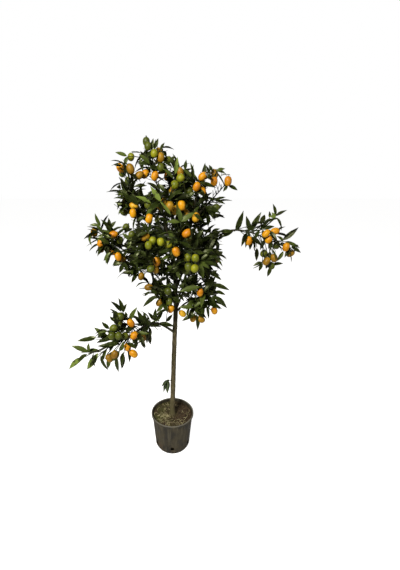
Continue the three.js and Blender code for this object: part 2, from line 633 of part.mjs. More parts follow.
function growMass(mass, cell) {
  const random = mulberry(mass.seed);
  const { curve, end, radius } = LIMBS.get(mass.name);
  const rings = mass.goals ? LONG_STEM_RINGS : STEM_RINGS;
  const stem = limbTube(curve, end, 1, rings, radius, STEM_SIDES, GAP);
  const grown = [];
  const twigs = [];
  const usualLeaves = mass.goals ? LEAVES_PER_LONG_TWIG : LEAVES_PER_TWIG;
  const count = { leaves: 0, fruit: 0 };
  const prepare = (shape) => {
    shape.ball = new THREE.Sphere().setFromPoints(shape.vertices);
    return shape;
  };
  const fits = (shape) => shape.vertices.every((vertex) => roomAround(cell, vertex) > CELL_MARGIN);
  const isFree = (shape, parents) => grown.every((other) => (
    parents.includes(other) || !crosses(shape, other)
  ));
  const draws = () => Array.from({ length: 8 }, random);
  grown.push(prepare(stem));

  const tryFeet = (first, tries, attempt) => {
    for (let k = 0; k < tries; k += 1) {
      const foot = first + (k % 2 ? -1 : 1) * STEM_STEP * Math.ceil(k / 2);
      if (foot > end + 0.04 * (1 - end) && foot < 0.99 && attempt(foot, k)) return true;
    }
    return false;
  };

  // Each fruit hangs from a twig of its own, which ends just inside its crown.
  const own = FRUIT.filter(([x, y, z]) => {
    const rooms = CELLS.map((other) => roomAround(other, new THREE.Vector3(x, y, z)));
    return CELLS[rooms.indexOf(Math.max(...rooms))] === cell;
  });
  for (const [x, y, z, lean] of own) {
    const draw = draws();
    const tilt = THREE.MathUtils.degToRad(lean);
    const axis = new THREE.Vector3(Math.sin(tilt), 0, Math.cos(tilt));
    const crown = new THREE.Vector3(x, y, z).addScaledVector(axis, FRUIT_LENGTH / 2);
    const knot = crown.clone().addScaledVector(axis, -KNOT_SUNK);
    const fruit = prepare(fruitShape(crown, axis));
    const hangs = fits(fruit) && clearOfLimbs(fruit.from, fruit.to, FRUIT_WIDTH / 2) && isFree(fruit, []);
    tryFeet(branchPoint(curve, end, knot, 0.12), hangs ? 11 : 0, (foot) => {
      const root = curve.getPoint(foot);
      const twig = prepare(twigShape([root, knot], [TWIG_ROOT_RADIUS, TWIG_TIP_RADIUS]));
      const open = fits(twig) && clearOfLimbs(root.clone().lerp(knot, 0.4), knot, TWIG_ROOT_RADIUS);
      if (!open || !isFree(twig, [stem])) return false;
      grown.push(twig, fruit);
      count.fruit += 1;
      twigs.push({ twig, points: [root, knot], draw, terminal: false });
      return true;
    });
  }

  // Other twigs aim at the mass's goals, or at points spread evenly round it.
  const twigCount = mass.goals ? mass.goals.length : mass.twigs;
  for (let k = 0; k < twigCount; k += 1) {
    const level = 1 - (2 * (k + 0.5)) / twigCount;
    const bearing = k * GOLDEN_ANGLE + mass.seed;
    const spread = Math.sqrt(1 - level * level);
    const aim = new THREE.Vector3(spread * Math.cos(bearing), spread * Math.sin(bearing), level)
      .multiply(cell.half);
    const draw = draws();
    const share = THREE.MathUtils.clamp(1 - (LEAF_LENGTH * 0.78) / aim.length(), 0.28, 0.8);
    const evenGoal = cell.middle.clone().addScaledVector(aim, share * (0.85 + 0.3 * draw[0]));
    const goal = mass.goals ? vector(mass.goals[k]) : evenGoal;
    tryFeet(branchPoint(curve, end, goal, 0.12 + 0.18 * draw[1]), 9, (foot, attempt) => {
      const root = curve.getPoint(foot);
      const tip = root.clone().lerp(goal, 1 - 0.07 * attempt);
      const lean = curve.getTangent(foot).multiplyScalar(root.distanceTo(tip) * 0.12);
      const bend = root.clone().lerp(tip, 0.5).add(lean);
      const middleRadius = (TWIG_ROOT_RADIUS + TWIG_TIP_RADIUS) / 2;
      const twig = prepare(twigShape([root, bend, tip], [TWIG_ROOT_RADIUS, middleRadius, TWIG_TIP_RADIUS]));
      const open = root.distanceTo(tip) > 14 && fits(twig) && clearOfLimbs(bend, tip, TWIG_ROOT_RADIUS);
      if (!open || !isFree(twig, [stem])) return false;
      grown.push(twig);
      twigs.push({ twig, points: [root, bend, tip], draw, terminal: true });
      return true;
    });
  }

  const growLeaf = (twig, root, direction, size, roll) => {
    const outward = root.clone().sub(cell.middle).divide(cell.half);
    const facing = new THREE.Vector3(outward.x * 0.5, outward.y * 0.5, 1)
      .addScaledVector(direction.clone().cross(UP), (roll - 0.5) * LEAF_ROLL);
    const sunk = root.clone().addScaledVector(direction, -LEAF_SUNK);
    const width = LEAF_WIDTH * (0.4 + 0.6 * size);
    const leaf = prepare(leafShape(sunk, direction, facing, LEAF_LENGTH * size, width));
    const open = withinReach(cell, leaf.to, 1.12) && fits(leaf) && clearOfLimbs(root, leaf.to, 7);
    const free = open && isFree(leaf, [twig]);
    if (free) {
      grown.push(leaf);
      count.leaves += 1;
    }
    return free;
  };

  // Each twig bears a leaf at its tip and others along it, each through one of its three faces.
  const lastOfStem = [curve.getPoint(1 - 0.35 * (1 - end)), curve.getPoint(1)];
  twigs.push({ twig: stem, points: lastOfStem, draw: draws(), terminal: true });
  for (const { twig, points, draw, terminal } of twigs) {
    const last = points.at(-1);
    const before = points.at(-2);
    const direction = last.clone().sub(before).normalize();
    const mostLeaves = terminal ? usualLeaves : Math.min(usualLeaves, LEAVES_PER_FRUIT_TWIG);
    let borne = 0;
    if (terminal) {
      const knot = last.clone().addScaledVector(direction, -1);
      borne += growLeaf(twig, knot, turned(direction, 0.12, draw[2] * 6.28), 1, draw[3]) ? 1 : 0;
    }
    for (let n = 0; n < LEAF_TRIES && borne < mostLeaves; n += 1) {
      const place = before.clone().lerp(last, 0.9 - (0.8 * n) / LEAF_TRIES);
      const side = offTwig(points, 0.62 + 0.4 * draw[(n * 3 + 4) % 8], n + Math.floor(draw[5] * 3));
      const size = (0.86 + 0.14 * draw[(n + 6) % 8]) * (n % 2 ? LEAF_SMALL : 1);
      borne += growLeaf(twig, place, side, size, draw[(n + 7) % 8]) ? 1 : 0;
    }
  }
  const solids = grown.map(({ vertices, faces }) => solidFrom(vertices, faces));
  return { solid: outerBody(Manifold.union(solids)), count };
}

// ---- Assembly ----
const tree = new THREE.Group();
tree.name = 'kumquat_tree_in_pot';

tree.add(toMesh('pot', potSolid(), 'pot'));
tree.add(toMesh('soil', soilSolid(), 'soil'));

const trunkShape = trunkTube(0);
tree.add(toMesh('trunk', solidFrom(trunkShape.vertices, trunkShape.faces), 'trunk'));

function boughTube(name, extra) {
  const { curve, end, radius } = LIMBS.get(name);
  const rings = Math.max(4, Math.round((curve.getLength() * end) / BOUGH_RING_EVERY));
  return limbTube(curve, 0, end, rings, (t) => radius(t) + extra, BOUGH_SIDES);
}

const parentWood = (name) => {
  const shape = name === 'trunk' ? trunkTube(GAP + 0.05) : boughTube(name, GAP + 0.05);
  return solidFrom(shape.vertices, shape.faces);
};

MASSES.forEach((mass, index) => {
  if (LIMBS.get(mass.name).end > 0) {
    const shape = boughTube(mass.name, 0);
    const bough = solidFrom(shape.vertices, shape.faces).subtract(parentWood(mass.from[0]));
    tree.add(toMesh(`bough_${mass.name}`, outerBody(bough), 'bough'));
  }
  const { solid, count } = growMass(mass, CELLS[index]);
  const foliage = toMesh(`foliage_${mass.name}`, solid, 'foliage');
  foliage.userData = count;
  tree.add(foliage);
});

// A short shoot low on the trunk with a few small hanging leaves.
function sproutSolid() {
  let near = 0;
  for (let t = 0; t < 1; t += 0.002) {
    if (trunkCurve.getPoint(t).z < SPROUT_HEIGHT) near = t;
  }
  const core = trunkCurve.getPoint(near);
  const bark = core.clone().add(new THREE.Vector3(-trunkRadius(near), 0, 0));
  const outer = bark.clone().add(new THREE.Vector3(-SPROUT_REACH, 0, SPROUT_REACH * 0.6));
  const shoot = twigShape([core, bark, outer], [2.4, 2.2, 1.8]);
  const parts = [solidFrom(shoot.vertices, shoot.faces)];
  SPROUT_LEAVES.forEach(([bearing, drop, length]) => {
    const turn = THREE.MathUtils.degToRad(bearing);
    const direction = new THREE.Vector3(Math.cos(turn), Math.sin(turn), -drop * 2).normalize();
    const facing = new THREE.Vector3(Math.cos(turn), Math.sin(turn), 1);
    const root = outer.clone().addScaledVector(direction, -1.2);
    const leaf = leafShape(root, direction, facing, length, SPROUT_LEAF_WIDTH);
    parts.push(solidFrom(leaf.vertices, leaf.faces));
  });
  return outerBody(Manifold.union(parts).subtract(parentWood('trunk')));
}

tree.add(toMesh('foliage_sprout', sproutSolid(), 'foliage'));

export default tree;
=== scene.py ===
# A young kumquat tree in a nursery pot. Metres, +Z up; the origin is the middle of the pot's underside.
from collections import namedtuple
import math
import bpy
import numpy as np
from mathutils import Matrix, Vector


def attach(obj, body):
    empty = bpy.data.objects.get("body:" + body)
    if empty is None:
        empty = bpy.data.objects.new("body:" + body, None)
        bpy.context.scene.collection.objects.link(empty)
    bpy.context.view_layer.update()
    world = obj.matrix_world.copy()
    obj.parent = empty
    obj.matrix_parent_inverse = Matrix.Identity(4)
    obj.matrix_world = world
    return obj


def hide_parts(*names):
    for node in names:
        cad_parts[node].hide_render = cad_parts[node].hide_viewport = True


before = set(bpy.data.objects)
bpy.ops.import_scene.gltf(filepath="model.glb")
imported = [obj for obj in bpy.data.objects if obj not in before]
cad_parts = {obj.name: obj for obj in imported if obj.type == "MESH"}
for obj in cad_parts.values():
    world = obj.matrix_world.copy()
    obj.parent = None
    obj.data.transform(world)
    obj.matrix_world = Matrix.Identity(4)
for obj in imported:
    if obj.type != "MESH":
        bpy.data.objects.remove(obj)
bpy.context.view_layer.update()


# ---- Nursery pot ----
# A round pot of thin recycled black plastic, moulded in one piece with a rolled lip and a bevelled foot.
# Six arched drain slots pierce the bevel, and dust, scuffs and dried water have greyed the wall.
MM = 0.001
POT_ROUND, POT_WOBBLE = 112, 0.006
POT_PROFILE = [
    (0, 0), (60, 0), (93, 0), (96.5, 0.3), (98, 1.5), (100, 6), (102.4, 11), (104.4, 14.8), (105.5, 18),
    (106.2, 28), (107.5, 50), (109.6, 86), (112, 122), (114.4, 158), (116.9, 194), (118.6, 220), (119.2, 228),
    (119.9, 231.2), (121.6, 232.6), (124, 233.4), (125.2, 234.8), (125.7, 237), (125.6, 243), (125, 246.2),
    (123.6, 248), (121.8, 248.5), (120.2, 248), (119.2, 246.6), (118.5, 243), (117.6, 232), (115.8, 212),
    (112.7, 168), (109.4, 118), (106.2, 66), (104, 34), (103, 20), (99.6, 10), (93, 4.4), (85, 4), (0, 4),
]
SLOT_COUNT, SLOT_WIDTH, SLOT_LOW, SLOT_HIGH = 6, 20, 38, 66
SLOT_INNER, SLOT_OUTER, ARCH_POINTS, ARCH_RISE = 87, 127, 9, 0.8
SHARPEST_SMOOTH_EDGE = math.radians(38)


def mesh_piece(name, points, faces, smooth=True):
    """A mesh object from an array of points and a list of face arrays, each of one corner count."""
    mesh = bpy.data.meshes.new(name)
    mesh.from_pydata(points, [], [face for group in faces for face in group.tolist()])
    mesh.polygons.foreach_set("use_smooth", np.full(len(mesh.polygons), smooth))
    mesh.update()
    piece = bpy.data.objects.new(name, mesh)
    bpy.context.scene.collection.objects.link(piece)
    return piece


def ring_faces(rings, sides):
    """Quads between neighbouring rings of points that close up round the ring."""
    ring, k = np.meshgrid(np.arange(rings - 1), np.arange(sides), indexing="ij")
    a = ring * sides + k
    b = ring * sides + (k + 1) % sides
    return np.stack([a, b, b + sides, a + sides], -1).reshape(-1, 4)


def end_faces(rings, sides):
    """The flat face that closes each end of a tube of rings."""
    return [np.arange(sides)[::-1][None], (np.arange(sides) + (rings - 1) * sides)[None]]


def pole_fan(pole, first, sides, turned=False):
    """Triangles between a pole and the ring of points that begins at first."""
    k = np.arange(sides)
    ring = first + np.stack([k, (k + 1) % sides], -1)
    return np.column_stack([np.full(sides, pole), ring[:, ::-1] if turned else ring])


def closed_rings(rings, poles):
    """Surface through R rings of S points, closed by a fan to a pole at each end."""
    count, sides = rings.shape[:2]
    total = count * sides
    fans = [pole_fan(total, 0, sides, True), pole_fan(total + 1, total - sides, sides)]
    return np.vstack([rings.reshape(-1, 3), poles]), [ring_faces(count, sides), *fans]


def spun(profile, sides, wobble):
    """Profile (r, z) turned round the Z axis: (r cos a, r sin a, z), with r swollen by wobble·sin(2a + 1)."""
    profile = np.array(profile, float) * MM
    angle = np.linspace(0, 2 * math.pi, sides, endpoint=False)
    r, z = profile[1:-1, :1], profile[1:-1, 1:]
    radius = r * (1 + wobble * np.sin(2 * angle + 1) * (z / z.max()))
    rings = np.stack([radius * np.cos(angle), radius * np.sin(angle), np.repeat(z, sides, 1)], -1)
    return closed_rings(rings, [(0, 0, profile[0, 1]), (0, 0, profile[-1, 1])])


class Finish:
    """A material with its shader node and the Object coordinates that its patterns lie on."""

    def __init__(self, name):
        self.material = bpy.data.materials.new(name)
        self.material.use_nodes = True
        self.nodes, self.links = self.material.node_tree.nodes, self.material.node_tree.links
        self.shader = self.nodes["Principled BSDF"]
        self.place = self.nodes.new("ShaderNodeTexCoord").outputs["Object"]

    def fed(self, node, inputs, output=0):
        """An output of a node whose inputs are linked to sockets or set to numbers, vectors and colours."""
        for key, value in inputs.items():
            if isinstance(value, bpy.types.NodeSocket):
                self.links.new(value, node.inputs[key])
            else:
                node.inputs[key].default_value = (*value, 1) if node.inputs[key].type == "RGBA" else value
        return node.outputs[output]

    def spread(self, value, low, high, to_low=0.0, to_high=1.0):
        """A grey brought from between two limits to between two others."""
        limits = {"From Min": low, "From Max": high, "To Min": to_low, "To Max": to_high}
        return self.fed(self.nodes.new("ShaderNodeMapRange"), {"Value": value, **limits})

    def speckle(self, scale, detail=4.0, stretch=(1, 1, 1), low=0.35, high=0.65):
        """Noise on stretched coordinates, its grey spread between low and high."""
        stretched = self.fed(self.nodes.new("ShaderNodeMapping"), {"Vector": self.place, "Scale": stretch})
        noise = {"Vector": stretched, "Scale": scale, "Detail": detail}
        return self.spread(self.fed(self.nodes.new("ShaderNodeTexNoise"), noise, "Fac"), low, high)

    def ramp(self, axis, low, high):
        """0 at one height along an axis, 1 at another."""
        split = self.nodes.new("ShaderNodeSeparateXYZ")
        return self.spread(self.fed(split, {"Vector": self.place}, axis), low, high)

    def tinted(self, under, over, amount):
        """Colour over laid on colour under by an amount; each colour is a socket or three numbers."""
        mix = self.nodes.new("ShaderNodeMix")
        mix.data_type = "RGBA"
        return self.fed(mix, {0: amount, 6: under, 7: over}, 2)

    def times(self, first, second):
        """Product of two greys."""
        product = self.nodes.new("ShaderNodeMath")
        product.operation, product.use_clamp = "MULTIPLY", True
        return self.fed(product, {0: first, 1: second})

    def surface(self, colour, roughness, gloss=0.5):
        """Colour, roughness and specular level, each on the shader's own socket."""
        self.fed(self.shader, {"Base Color": colour, "Roughness": roughness, "Specular IOR Level": gloss})

    def raised(self, height, distance, strength):
        """Bump of a given depth in metres on the shader's normal."""
        bump = self.nodes.new("ShaderNodeBump")
        bump = self.fed(bump, {"Height": height, "Distance": distance, "Strength": strength}, "Normal")
        self.fed(self.shader, {"Normal": bump})


pot = mesh_piece("nursery_pot", *spun(POT_PROFILE, POT_ROUND, POT_WOBBLE))

half = SLOT_WIDTH / 2
bow = np.linspace(0, math.pi, ARCH_POINTS)
arch = np.array([(-half, SLOT_LOW), (half, SLOT_LOW)]
                + [(half * math.cos(a), SLOT_HIGH - half + half * ARCH_RISE * math.sin(a)) for a in bow])
for k in range(SLOT_COUNT):
    turn = 2 * math.pi * k / SLOT_COUNT
    across = np.array([math.cos(turn), math.sin(turn), 0])
    outward = np.array([math.sin(turn), -math.cos(turn), 0])
    ends = [np.outer(arch[:, 0], across) + outward * reach + np.outer(arch[:, 1], [0, 0, 1])
            for reach in (SLOT_INNER, SLOT_OUTER)]
    cutter = mesh_piece("slot_cutter", np.vstack(ends) * MM,
                        [ring_faces(2, len(arch)), *end_faces(2, len(arch))], smooth=False)
    cut = pot.modifiers.new("slot", "BOOLEAN")
    cut.operation, cut.object, cut.solver = "DIFFERENCE", cutter, "EXACT"
    bpy.context.view_layer.update()
    whole = bpy.data.meshes.new_from_object(pot.evaluated_get(bpy.context.evaluated_depsgraph_get()))
    pot.modifiers.clear()
    pot.data = whole
    bpy.data.objects.remove(cutter)
pot.data.polygons.foreach_set("use_smooth", np.full(len(pot.data.polygons), True))
pot.data.set_sharp_from_angle(angle=SHARPEST_SMOOTH_EDGE)

dusty = Finish("dusty_black_plastic")
dust = dusty.speckle(22, 7, (1, 1, 0.6), 0.42, 0.6)
streaks = dusty.speckle(75, 5, (1, 1, 0.12), 0.48, 0.7)
fine = dusty.speckle(300, 4, low=0.42, high=0.66)
low_wall, left_side = dusty.ramp("Z", 0.09, 0.0), dusty.ramp("X", 0.03, -0.11)
# Painted highlight: a pale band laid round the top of the rolled lip, where the light catches it.
lip = dusty.ramp("Z", 0.240, 0.2485)
colour = dusty.tinted((0.010, 0.0085, 0.006), (0.054, 0.045, 0.028), dust)
colour = dusty.tinted(colour, (0.115, 0.100, 0.066), dusty.times(streaks, 0.5))
colour = dusty.tinted(colour, (0.10, 0.088, 0.058), dusty.times(fine, 0.3))
colour = dusty.tinted(colour, (0.085, 0.048, 0.02), dusty.times(dusty.times(low_wall, left_side), dust))
colour = dusty.tinted(colour, (0.20, 0.19, 0.155), dusty.times(lip, 0.6))
dusty.surface(colour, dusty.spread(dust, 0, 1, 0.55, 0.85), 0.3)
dusty.raised(fine, 0.0003, 0.6)
pot.data.materials.append(dusty.material)
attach(pot, "root")
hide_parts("pot")


# ---- Potting soil ----
# Peat and bark crumbs filled to a finger below the lip and heaped a little round the trunk.
# The crust is uneven, mossy on the left and bare reddish peat on the right.
SOIL_RINGS, SOIL_ROUND, SOIL_EDGE, SOIL_LEVEL, SOIL_HEAP = 60, 160, 116.2, 226, 5.5
SOIL_BELOW, SOIL_BOTTOM = [(76, 4.4), (86, 30), (88, 68), (105, 78), (115.6, 220)], 4.4


def soft_noise(u, v, seed, wrap=256):
    """Value noise from -1 to 1: random heights on whole numbers, blended by 3t^2 - 2t^3, repeating in u."""
    heights = np.random.default_rng(seed).random((256, 256)) * 2 - 1
    cell_u, cell_v = np.floor(u).astype(int), np.floor(v).astype(int)
    in_u, in_v = u - cell_u, v - cell_v
    in_u, in_v = in_u * in_u * (3 - 2 * in_u), in_v * in_v * (3 - 2 * in_v)
    near, far = cell_u % wrap, (cell_u + 1) % wrap
    low, high = cell_v % 256, (cell_v + 1) % 256
    return ((heights[near, low] * (1 - in_u) + heights[far, low] * in_u) * (1 - in_v)
            + (heights[near, high] * (1 - in_u) + heights[far, high] * in_u) * in_v)


def soil_height(x, y):
    """Height of the crust in mm: a level, a heap round the trunk, and three sizes of lumps."""
    distance = np.hypot(x, y)
    lumps = soft_noise(x / 17 + 40, y / 17 + 40, 3) * 2.2 + soft_noise(x / 6 + 40, y / 6 + 40, 4) * 1.3
    crumbs = np.abs(soft_noise(x / 2.3 + 60, y / 2.3 + 60, 5)) * 1.5
    return SOIL_LEVEL + SOIL_HEAP * np.exp(-((distance - 12) / 22) ** 2 * (distance > 12)) + lumps + crumbs


share = np.linspace(1, 0, SOIL_RINGS, endpoint=False) ** 0.8
angle = np.linspace(0, 2 * math.pi, SOIL_ROUND, endpoint=False)
x, y = np.outer(share * SOIL_EDGE, np.cos(angle)), np.outer(share * SOIL_EDGE, np.sin(angle))
crust = np.stack([x, y, soil_height(x, y)], -1)
below = np.array(SOIL_BELOW)
below = np.stack([np.outer(below[:, 0], np.cos(angle)), np.outer(below[:, 0], np.sin(angle)),
                  np.repeat(below[:, 1:], SOIL_ROUND, 1)], -1)
peak = float(soil_height(np.zeros(1), np.zeros(1))[0])
points, faces = closed_rings(np.concatenate([below, crust]), [(0, 0, SOIL_BOTTOM), (0, 0, peak)])
soil = mesh_piece("potting_soil", points * MM, faces)

peat = Finish("mossy_peat")
patches = peat.speckle(14, 4, low=0.4, high=0.62)
crumbs, grit = peat.speckle(130, 5), peat.speckle(520, 2, low=0.5, high=0.72)
colour = peat.tinted((0.016, 0.010, 0.005), (0.070, 0.046, 0.024), crumbs)
colour = peat.tinted(colour, (0.060, 0.062, 0.016), peat.times(patches, peat.ramp("X", 0.05, -0.06)))
colour = peat.tinted(colour, (0.16, 0.13, 0.07), peat.times(grit, 0.22))
peat.surface(colour, 0.95, 0.2)
peat.raised(crumbs, 0.0012, 0.9)
soil.data.materials.append(peat.material)
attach(soil, "root")
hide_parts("soil")


# ---- Dry weeds and crumbs on the soil ----
# Old weed stems have dried to straw and lie curled on the crust, most of them at the front left.
# Loose lumps of peat and bark lie among them.
STRAWS, STRAW_POINTS, STRAW_ROUND, CRUMBS = 84, 12, 5, 260
STRAW_EDGE, CRUMB_EDGE, RESTING_HEIGHT = 109, 110, 0.6


def ring_axes(tangent, level):
    """Two unit directions square to a path and to each other, turned as little as can be along it."""
    across = np.cross(tangent, np.cross(level, tangent))
    across /= np.linalg.norm(across, axis=-1, keepdims=True)
    return across, np.cross(tangent, across)


def repeated(faces, items, points_each):
    """Faces of one item, copied for a number of items that have so many points each."""
    return (faces[None] + (np.arange(items) * points_each)[:, None, None]).reshape(-1, faces.shape[1])


def tubes(paths, radii, sides):
    """Round tubes on N paths of P points: path + r (cos a · across + sin a · other), closed at both ends."""
    paths = np.asarray(paths, float)
    tangent = np.gradient(paths, axis=1)
    tangent /= np.linalg.norm(tangent, axis=-1, keepdims=True)
    chord = paths[:, -1] - paths[:, 0]
    slanting = np.abs(chord[:, 2:]) < 0.98 * np.linalg.norm(chord, axis=1, keepdims=True)
    level = np.cross(chord, np.where(slanting, [[0.0, 0.0, 1.0]], [[1.0, 0.0, 0.0]]))
    across, other = ring_axes(tangent, level[:, None])
    angle = 2 * math.pi * np.arange(sides) / sides
    ring = across[:, :, None] * np.cos(angle)[:, None] + other[:, :, None] * np.sin(angle)[:, None]
    points = (paths[:, :, None] + np.asarray(radii, float)[..., None, None] * ring).reshape(-1, 3)
    number, length = paths.shape[:2]
    one, caps = ring_faces(length, sides), np.vstack(end_faces(length, sides))
    return points, [repeated(part, number, length * sides) for part in (one, caps)]


rng = np.random.default_rng(21)
spot = rng.random(STRAWS)
bearing = np.where(spot < 0.55, rng.normal(3.75, 0.55, STRAWS), rng.uniform(0, 2 * math.pi, STRAWS))
bearing = np.where(spot > 0.8, rng.normal(4.9, 0.5, STRAWS), bearing)
distance = np.where(spot > 0.8, rng.uniform(88, 106, STRAWS), rng.uniform(36, 100, STRAWS))
heading = rng.uniform(0, 2 * math.pi, STRAWS)
curl = rng.normal(0, 1.5, STRAWS)
span = rng.uniform(16, 52, STRAWS)
along = np.linspace(-0.5, 0.5, STRAW_POINTS)
swing = heading[:, None] + curl[:, None] * along * 2
step = span[:, None] / (STRAW_POINTS - 1)
x = (distance * np.cos(bearing))[:, None] + np.cumsum(np.cos(swing) * step, 1)
y = (distance * np.sin(bearing))[:, None] + np.cumsum(np.sin(swing) * step, 1)
pull_in = np.minimum(1, STRAW_EDGE / np.hypot(x, y))
x, y = x * pull_in, y * pull_in
lift = rng.uniform(0.6, 4.5, (STRAWS, 1)) * (1 - (2 * along) ** 2)
paths = np.stack([x, y, soil_height(x, y) + RESTING_HEIGHT + lift], -1)
thick = rng.uniform(0.6, 1.7, (STRAWS, 1)) * (1 - 0.5 * np.abs(2 * along) ** 2)
points, faces = tubes(paths, thick, STRAW_ROUND)
straws = mesh_piece("dry_weed_stems", points * MM, faces)
straw = Finish("dry_straw")
straw.surface(straw.tinted((0.12, 0.10, 0.04), (0.46, 0.41, 0.22), straw.speckle(60, 3)), 0.75)
straws.data.materials.append(straw.material)
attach(straws, "root")

# Each lump is a box of eight corners pulled about at random and turned.
corner = np.array([(x, y, z) for x in (-1, 1) for y in (-1, 1) for z in (-1, 1)], float)
lump_faces = np.array([(0, 1, 3, 2), (4, 6, 7, 5), (0, 4, 5, 1), (2, 3, 7, 6), (0, 2, 6, 4), (1, 5, 7, 3)])
bearing = rng.uniform(0, 2 * math.pi, CRUMBS)
distance = CRUMB_EDGE * np.sqrt(rng.uniform(0.04, 0.98, CRUMBS))
x, y = distance * np.cos(bearing), distance * np.sin(bearing)
size = rng.uniform(1.0, 3.6, (CRUMBS, 1, 1)) * rng.uniform(0.6, 1.2, (CRUMBS, 1, 3))
shape = corner * size * rng.uniform(0.65, 1.15, (CRUMBS, 8, 3))
turn = rng.uniform(0, math.pi, (CRUMBS, 1))
shape = np.stack([shape[..., 0] * np.cos(turn) - shape[..., 1] * np.sin(turn),
                  shape[..., 0] * np.sin(turn) + shape[..., 1] * np.cos(turn), shape[..., 2] * 0.7], -1)
shape += np.stack([x, y, soil_height(x, y) + RESTING_HEIGHT], -1)[:, None]
crumbs_piece = mesh_piece("bark_crumbs", shape.reshape(-1, 3) * MM,
                          [repeated(lump_faces, CRUMBS, len(corner))])
crumb = Finish("bark_and_peat_crumbs")
crumb.surface(crumb.tinted((0.03, 0.018, 0.01), (0.13, 0.09, 0.05), crumb.speckle(90, 2)), 0.9)
crumbs_piece.data.materials.append(crumb.material)
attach(crumbs_piece, "root")


# ---- Trunk ----
# One slim stem, trained bare to knee height and above, that leans a little and runs up through the crown.
# Its grey-tan bark is finely fissured lengthwise and knobbly where side shoots were rubbed off.
TRUNK = [
    (0, 0, 232.3, 15), (3, 0, 400, 14), (8, 0, 600, 13.2), (14, 0, 800, 12.2), (19, 3, 950, 10.8),
    (13, 10, 1100, 8.8), (-8, 15, 1250, 6.6), (-34, 11, 1370, 5), (-54, 3, 1475, 3.7),
]
FLARE_RADIUS, FLARE_HEIGHT, SUNK_IN_SOIL = 21, 45, 3
TRUNK_ROUND, TRUNK_RINGS, TRUNK_SEED, TRUNK_FISSURE, TRUNK_FISSURE_LENGTH = 48, 620, 60, 0.42, 16
KNOBS, KNOB_LOWEST, KNOB_HIGHEST, KNOB_SMALLEST, KNOB_LARGEST = 120, 15, 1100, 0.5, 1.7


def limb_curve(points):
    """Uniform Catmull-Rom curve through the points, its ends carried on in a straight line; t runs 0 to 1."""
    points = np.array(points, float)
    padded = np.vstack([2 * points[0] - points[1], points, 2 * points[-1] - points[-2]])

    def at(t):
        place = np.clip(np.asarray(t, float), 0, 1) * (len(points) - 1)
        index = np.minimum(place.astype(int), len(points) - 2)
        w = (place - index)[..., None]
        before, start, end, after = (padded[index + shift] for shift in range(4))
        leave, arrive = (end - before) / 2, (after - start) / 2
        return (start + leave * w + (3 * (end - start) - 2 * leave - arrive) * w ** 2
                + (2 * (start - end) + leave + arrive) * w ** 3)
    return at


def heading_at(curve, t):
    """Unit direction of a curve at t."""
    step = curve(np.minimum(np.asarray(t) + 1e-4, 1)) - curve(np.maximum(np.asarray(t) - 1e-4, 0))
    return step / np.linalg.norm(step, axis=-1, keepdims=True)


def barked_tube(curve, t, radius, sides, seed, fissure, fissure_length, knobs=(), low_end=None):
    """Tube whose radius r(t) carries a slow swelling, fissures that are noise on cells of angle and length,
    and round knobs (angle, length, size) that each rise by size · exp(-d² / (2 (1.5 size)²))."""
    middle = curve(t)
    chord = middle[-1] - middle[0]
    upright = abs(chord[2]) > 0.9 * np.linalg.norm(chord)
    across, other = ring_axes(heading_at(curve, t), np.cross(chord, [0.2, 1, 0] if upright else [0, 0, 1]))
    length = np.concatenate([[0], np.cumsum(np.linalg.norm(np.diff(middle, axis=0), axis=1))])
    a, s = np.meshgrid(2 * math.pi * np.arange(sides) / sides, length)
    cells = max(5, int(sides / 4))
    round_cells = a / (2 * math.pi) * cells
    relief = soft_noise(round_cells, s / fissure_length, seed, cells)
    relief += 0.55 * soft_noise(round_cells * 2, s / (fissure_length * 0.35), seed + 1, cells * 2)
    swell = soft_noise(a * 0 + 3, s / 26, seed + 2) * 0.05
    out = radius[:, None] * (1 + swell) + fissure * relief
    for knob_angle, knob_length, size in knobs:
        turn = (a - knob_angle + math.pi) % (2 * math.pi) - math.pi
        off = (turn * radius[:, None]) ** 2 + (s - knob_length) ** 2
        out += size * np.exp(-off / (2 * (1.5 * size) ** 2))
    points = (middle[:, None] + out[..., None] * (across[:, None] * np.cos(a)[..., None]
                                                  + other[:, None] * np.sin(a)[..., None]))
    if low_end is not None:
        points[0, :, 2] = low_end
    return points.reshape(-1, 3), [ring_faces(len(t), sides), *end_faces(len(t), sides)]


trunk_curve = limb_curve([row[:3] for row in TRUNK])


def trunk_radius(t):
    """Radius along the table, plus a root flare that falls off with the square of the height."""
    plain = np.interp(np.asarray(t) * (len(TRUNK) - 1), np.arange(len(TRUNK)), [row[3] for row in TRUNK])
    flare = np.maximum(0, 1 - (trunk_curve(t)[..., 2] - TRUNK[0][2]) / FLARE_HEIGHT)
    return plain + (FLARE_RADIUS - TRUNK[0][3]) * flare ** 2


rng = np.random.default_rng(5)
knobs = np.stack([rng.uniform(0, 2 * math.pi, KNOBS), rng.uniform(KNOB_LOWEST, KNOB_HIGHEST, KNOBS),
                  rng.uniform(KNOB_SMALLEST, KNOB_LARGEST, KNOBS)], -1)
t = np.linspace(0, 1, TRUNK_RINGS)
points, faces = barked_tube(trunk_curve, t, trunk_radius(t), TRUNK_ROUND, TRUNK_SEED, TRUNK_FISSURE,
                            TRUNK_FISSURE_LENGTH, knobs, TRUNK[0][2] - SUNK_IN_SOIL)
trunk = mesh_piece("trunk_with_bark", points * MM, faces)


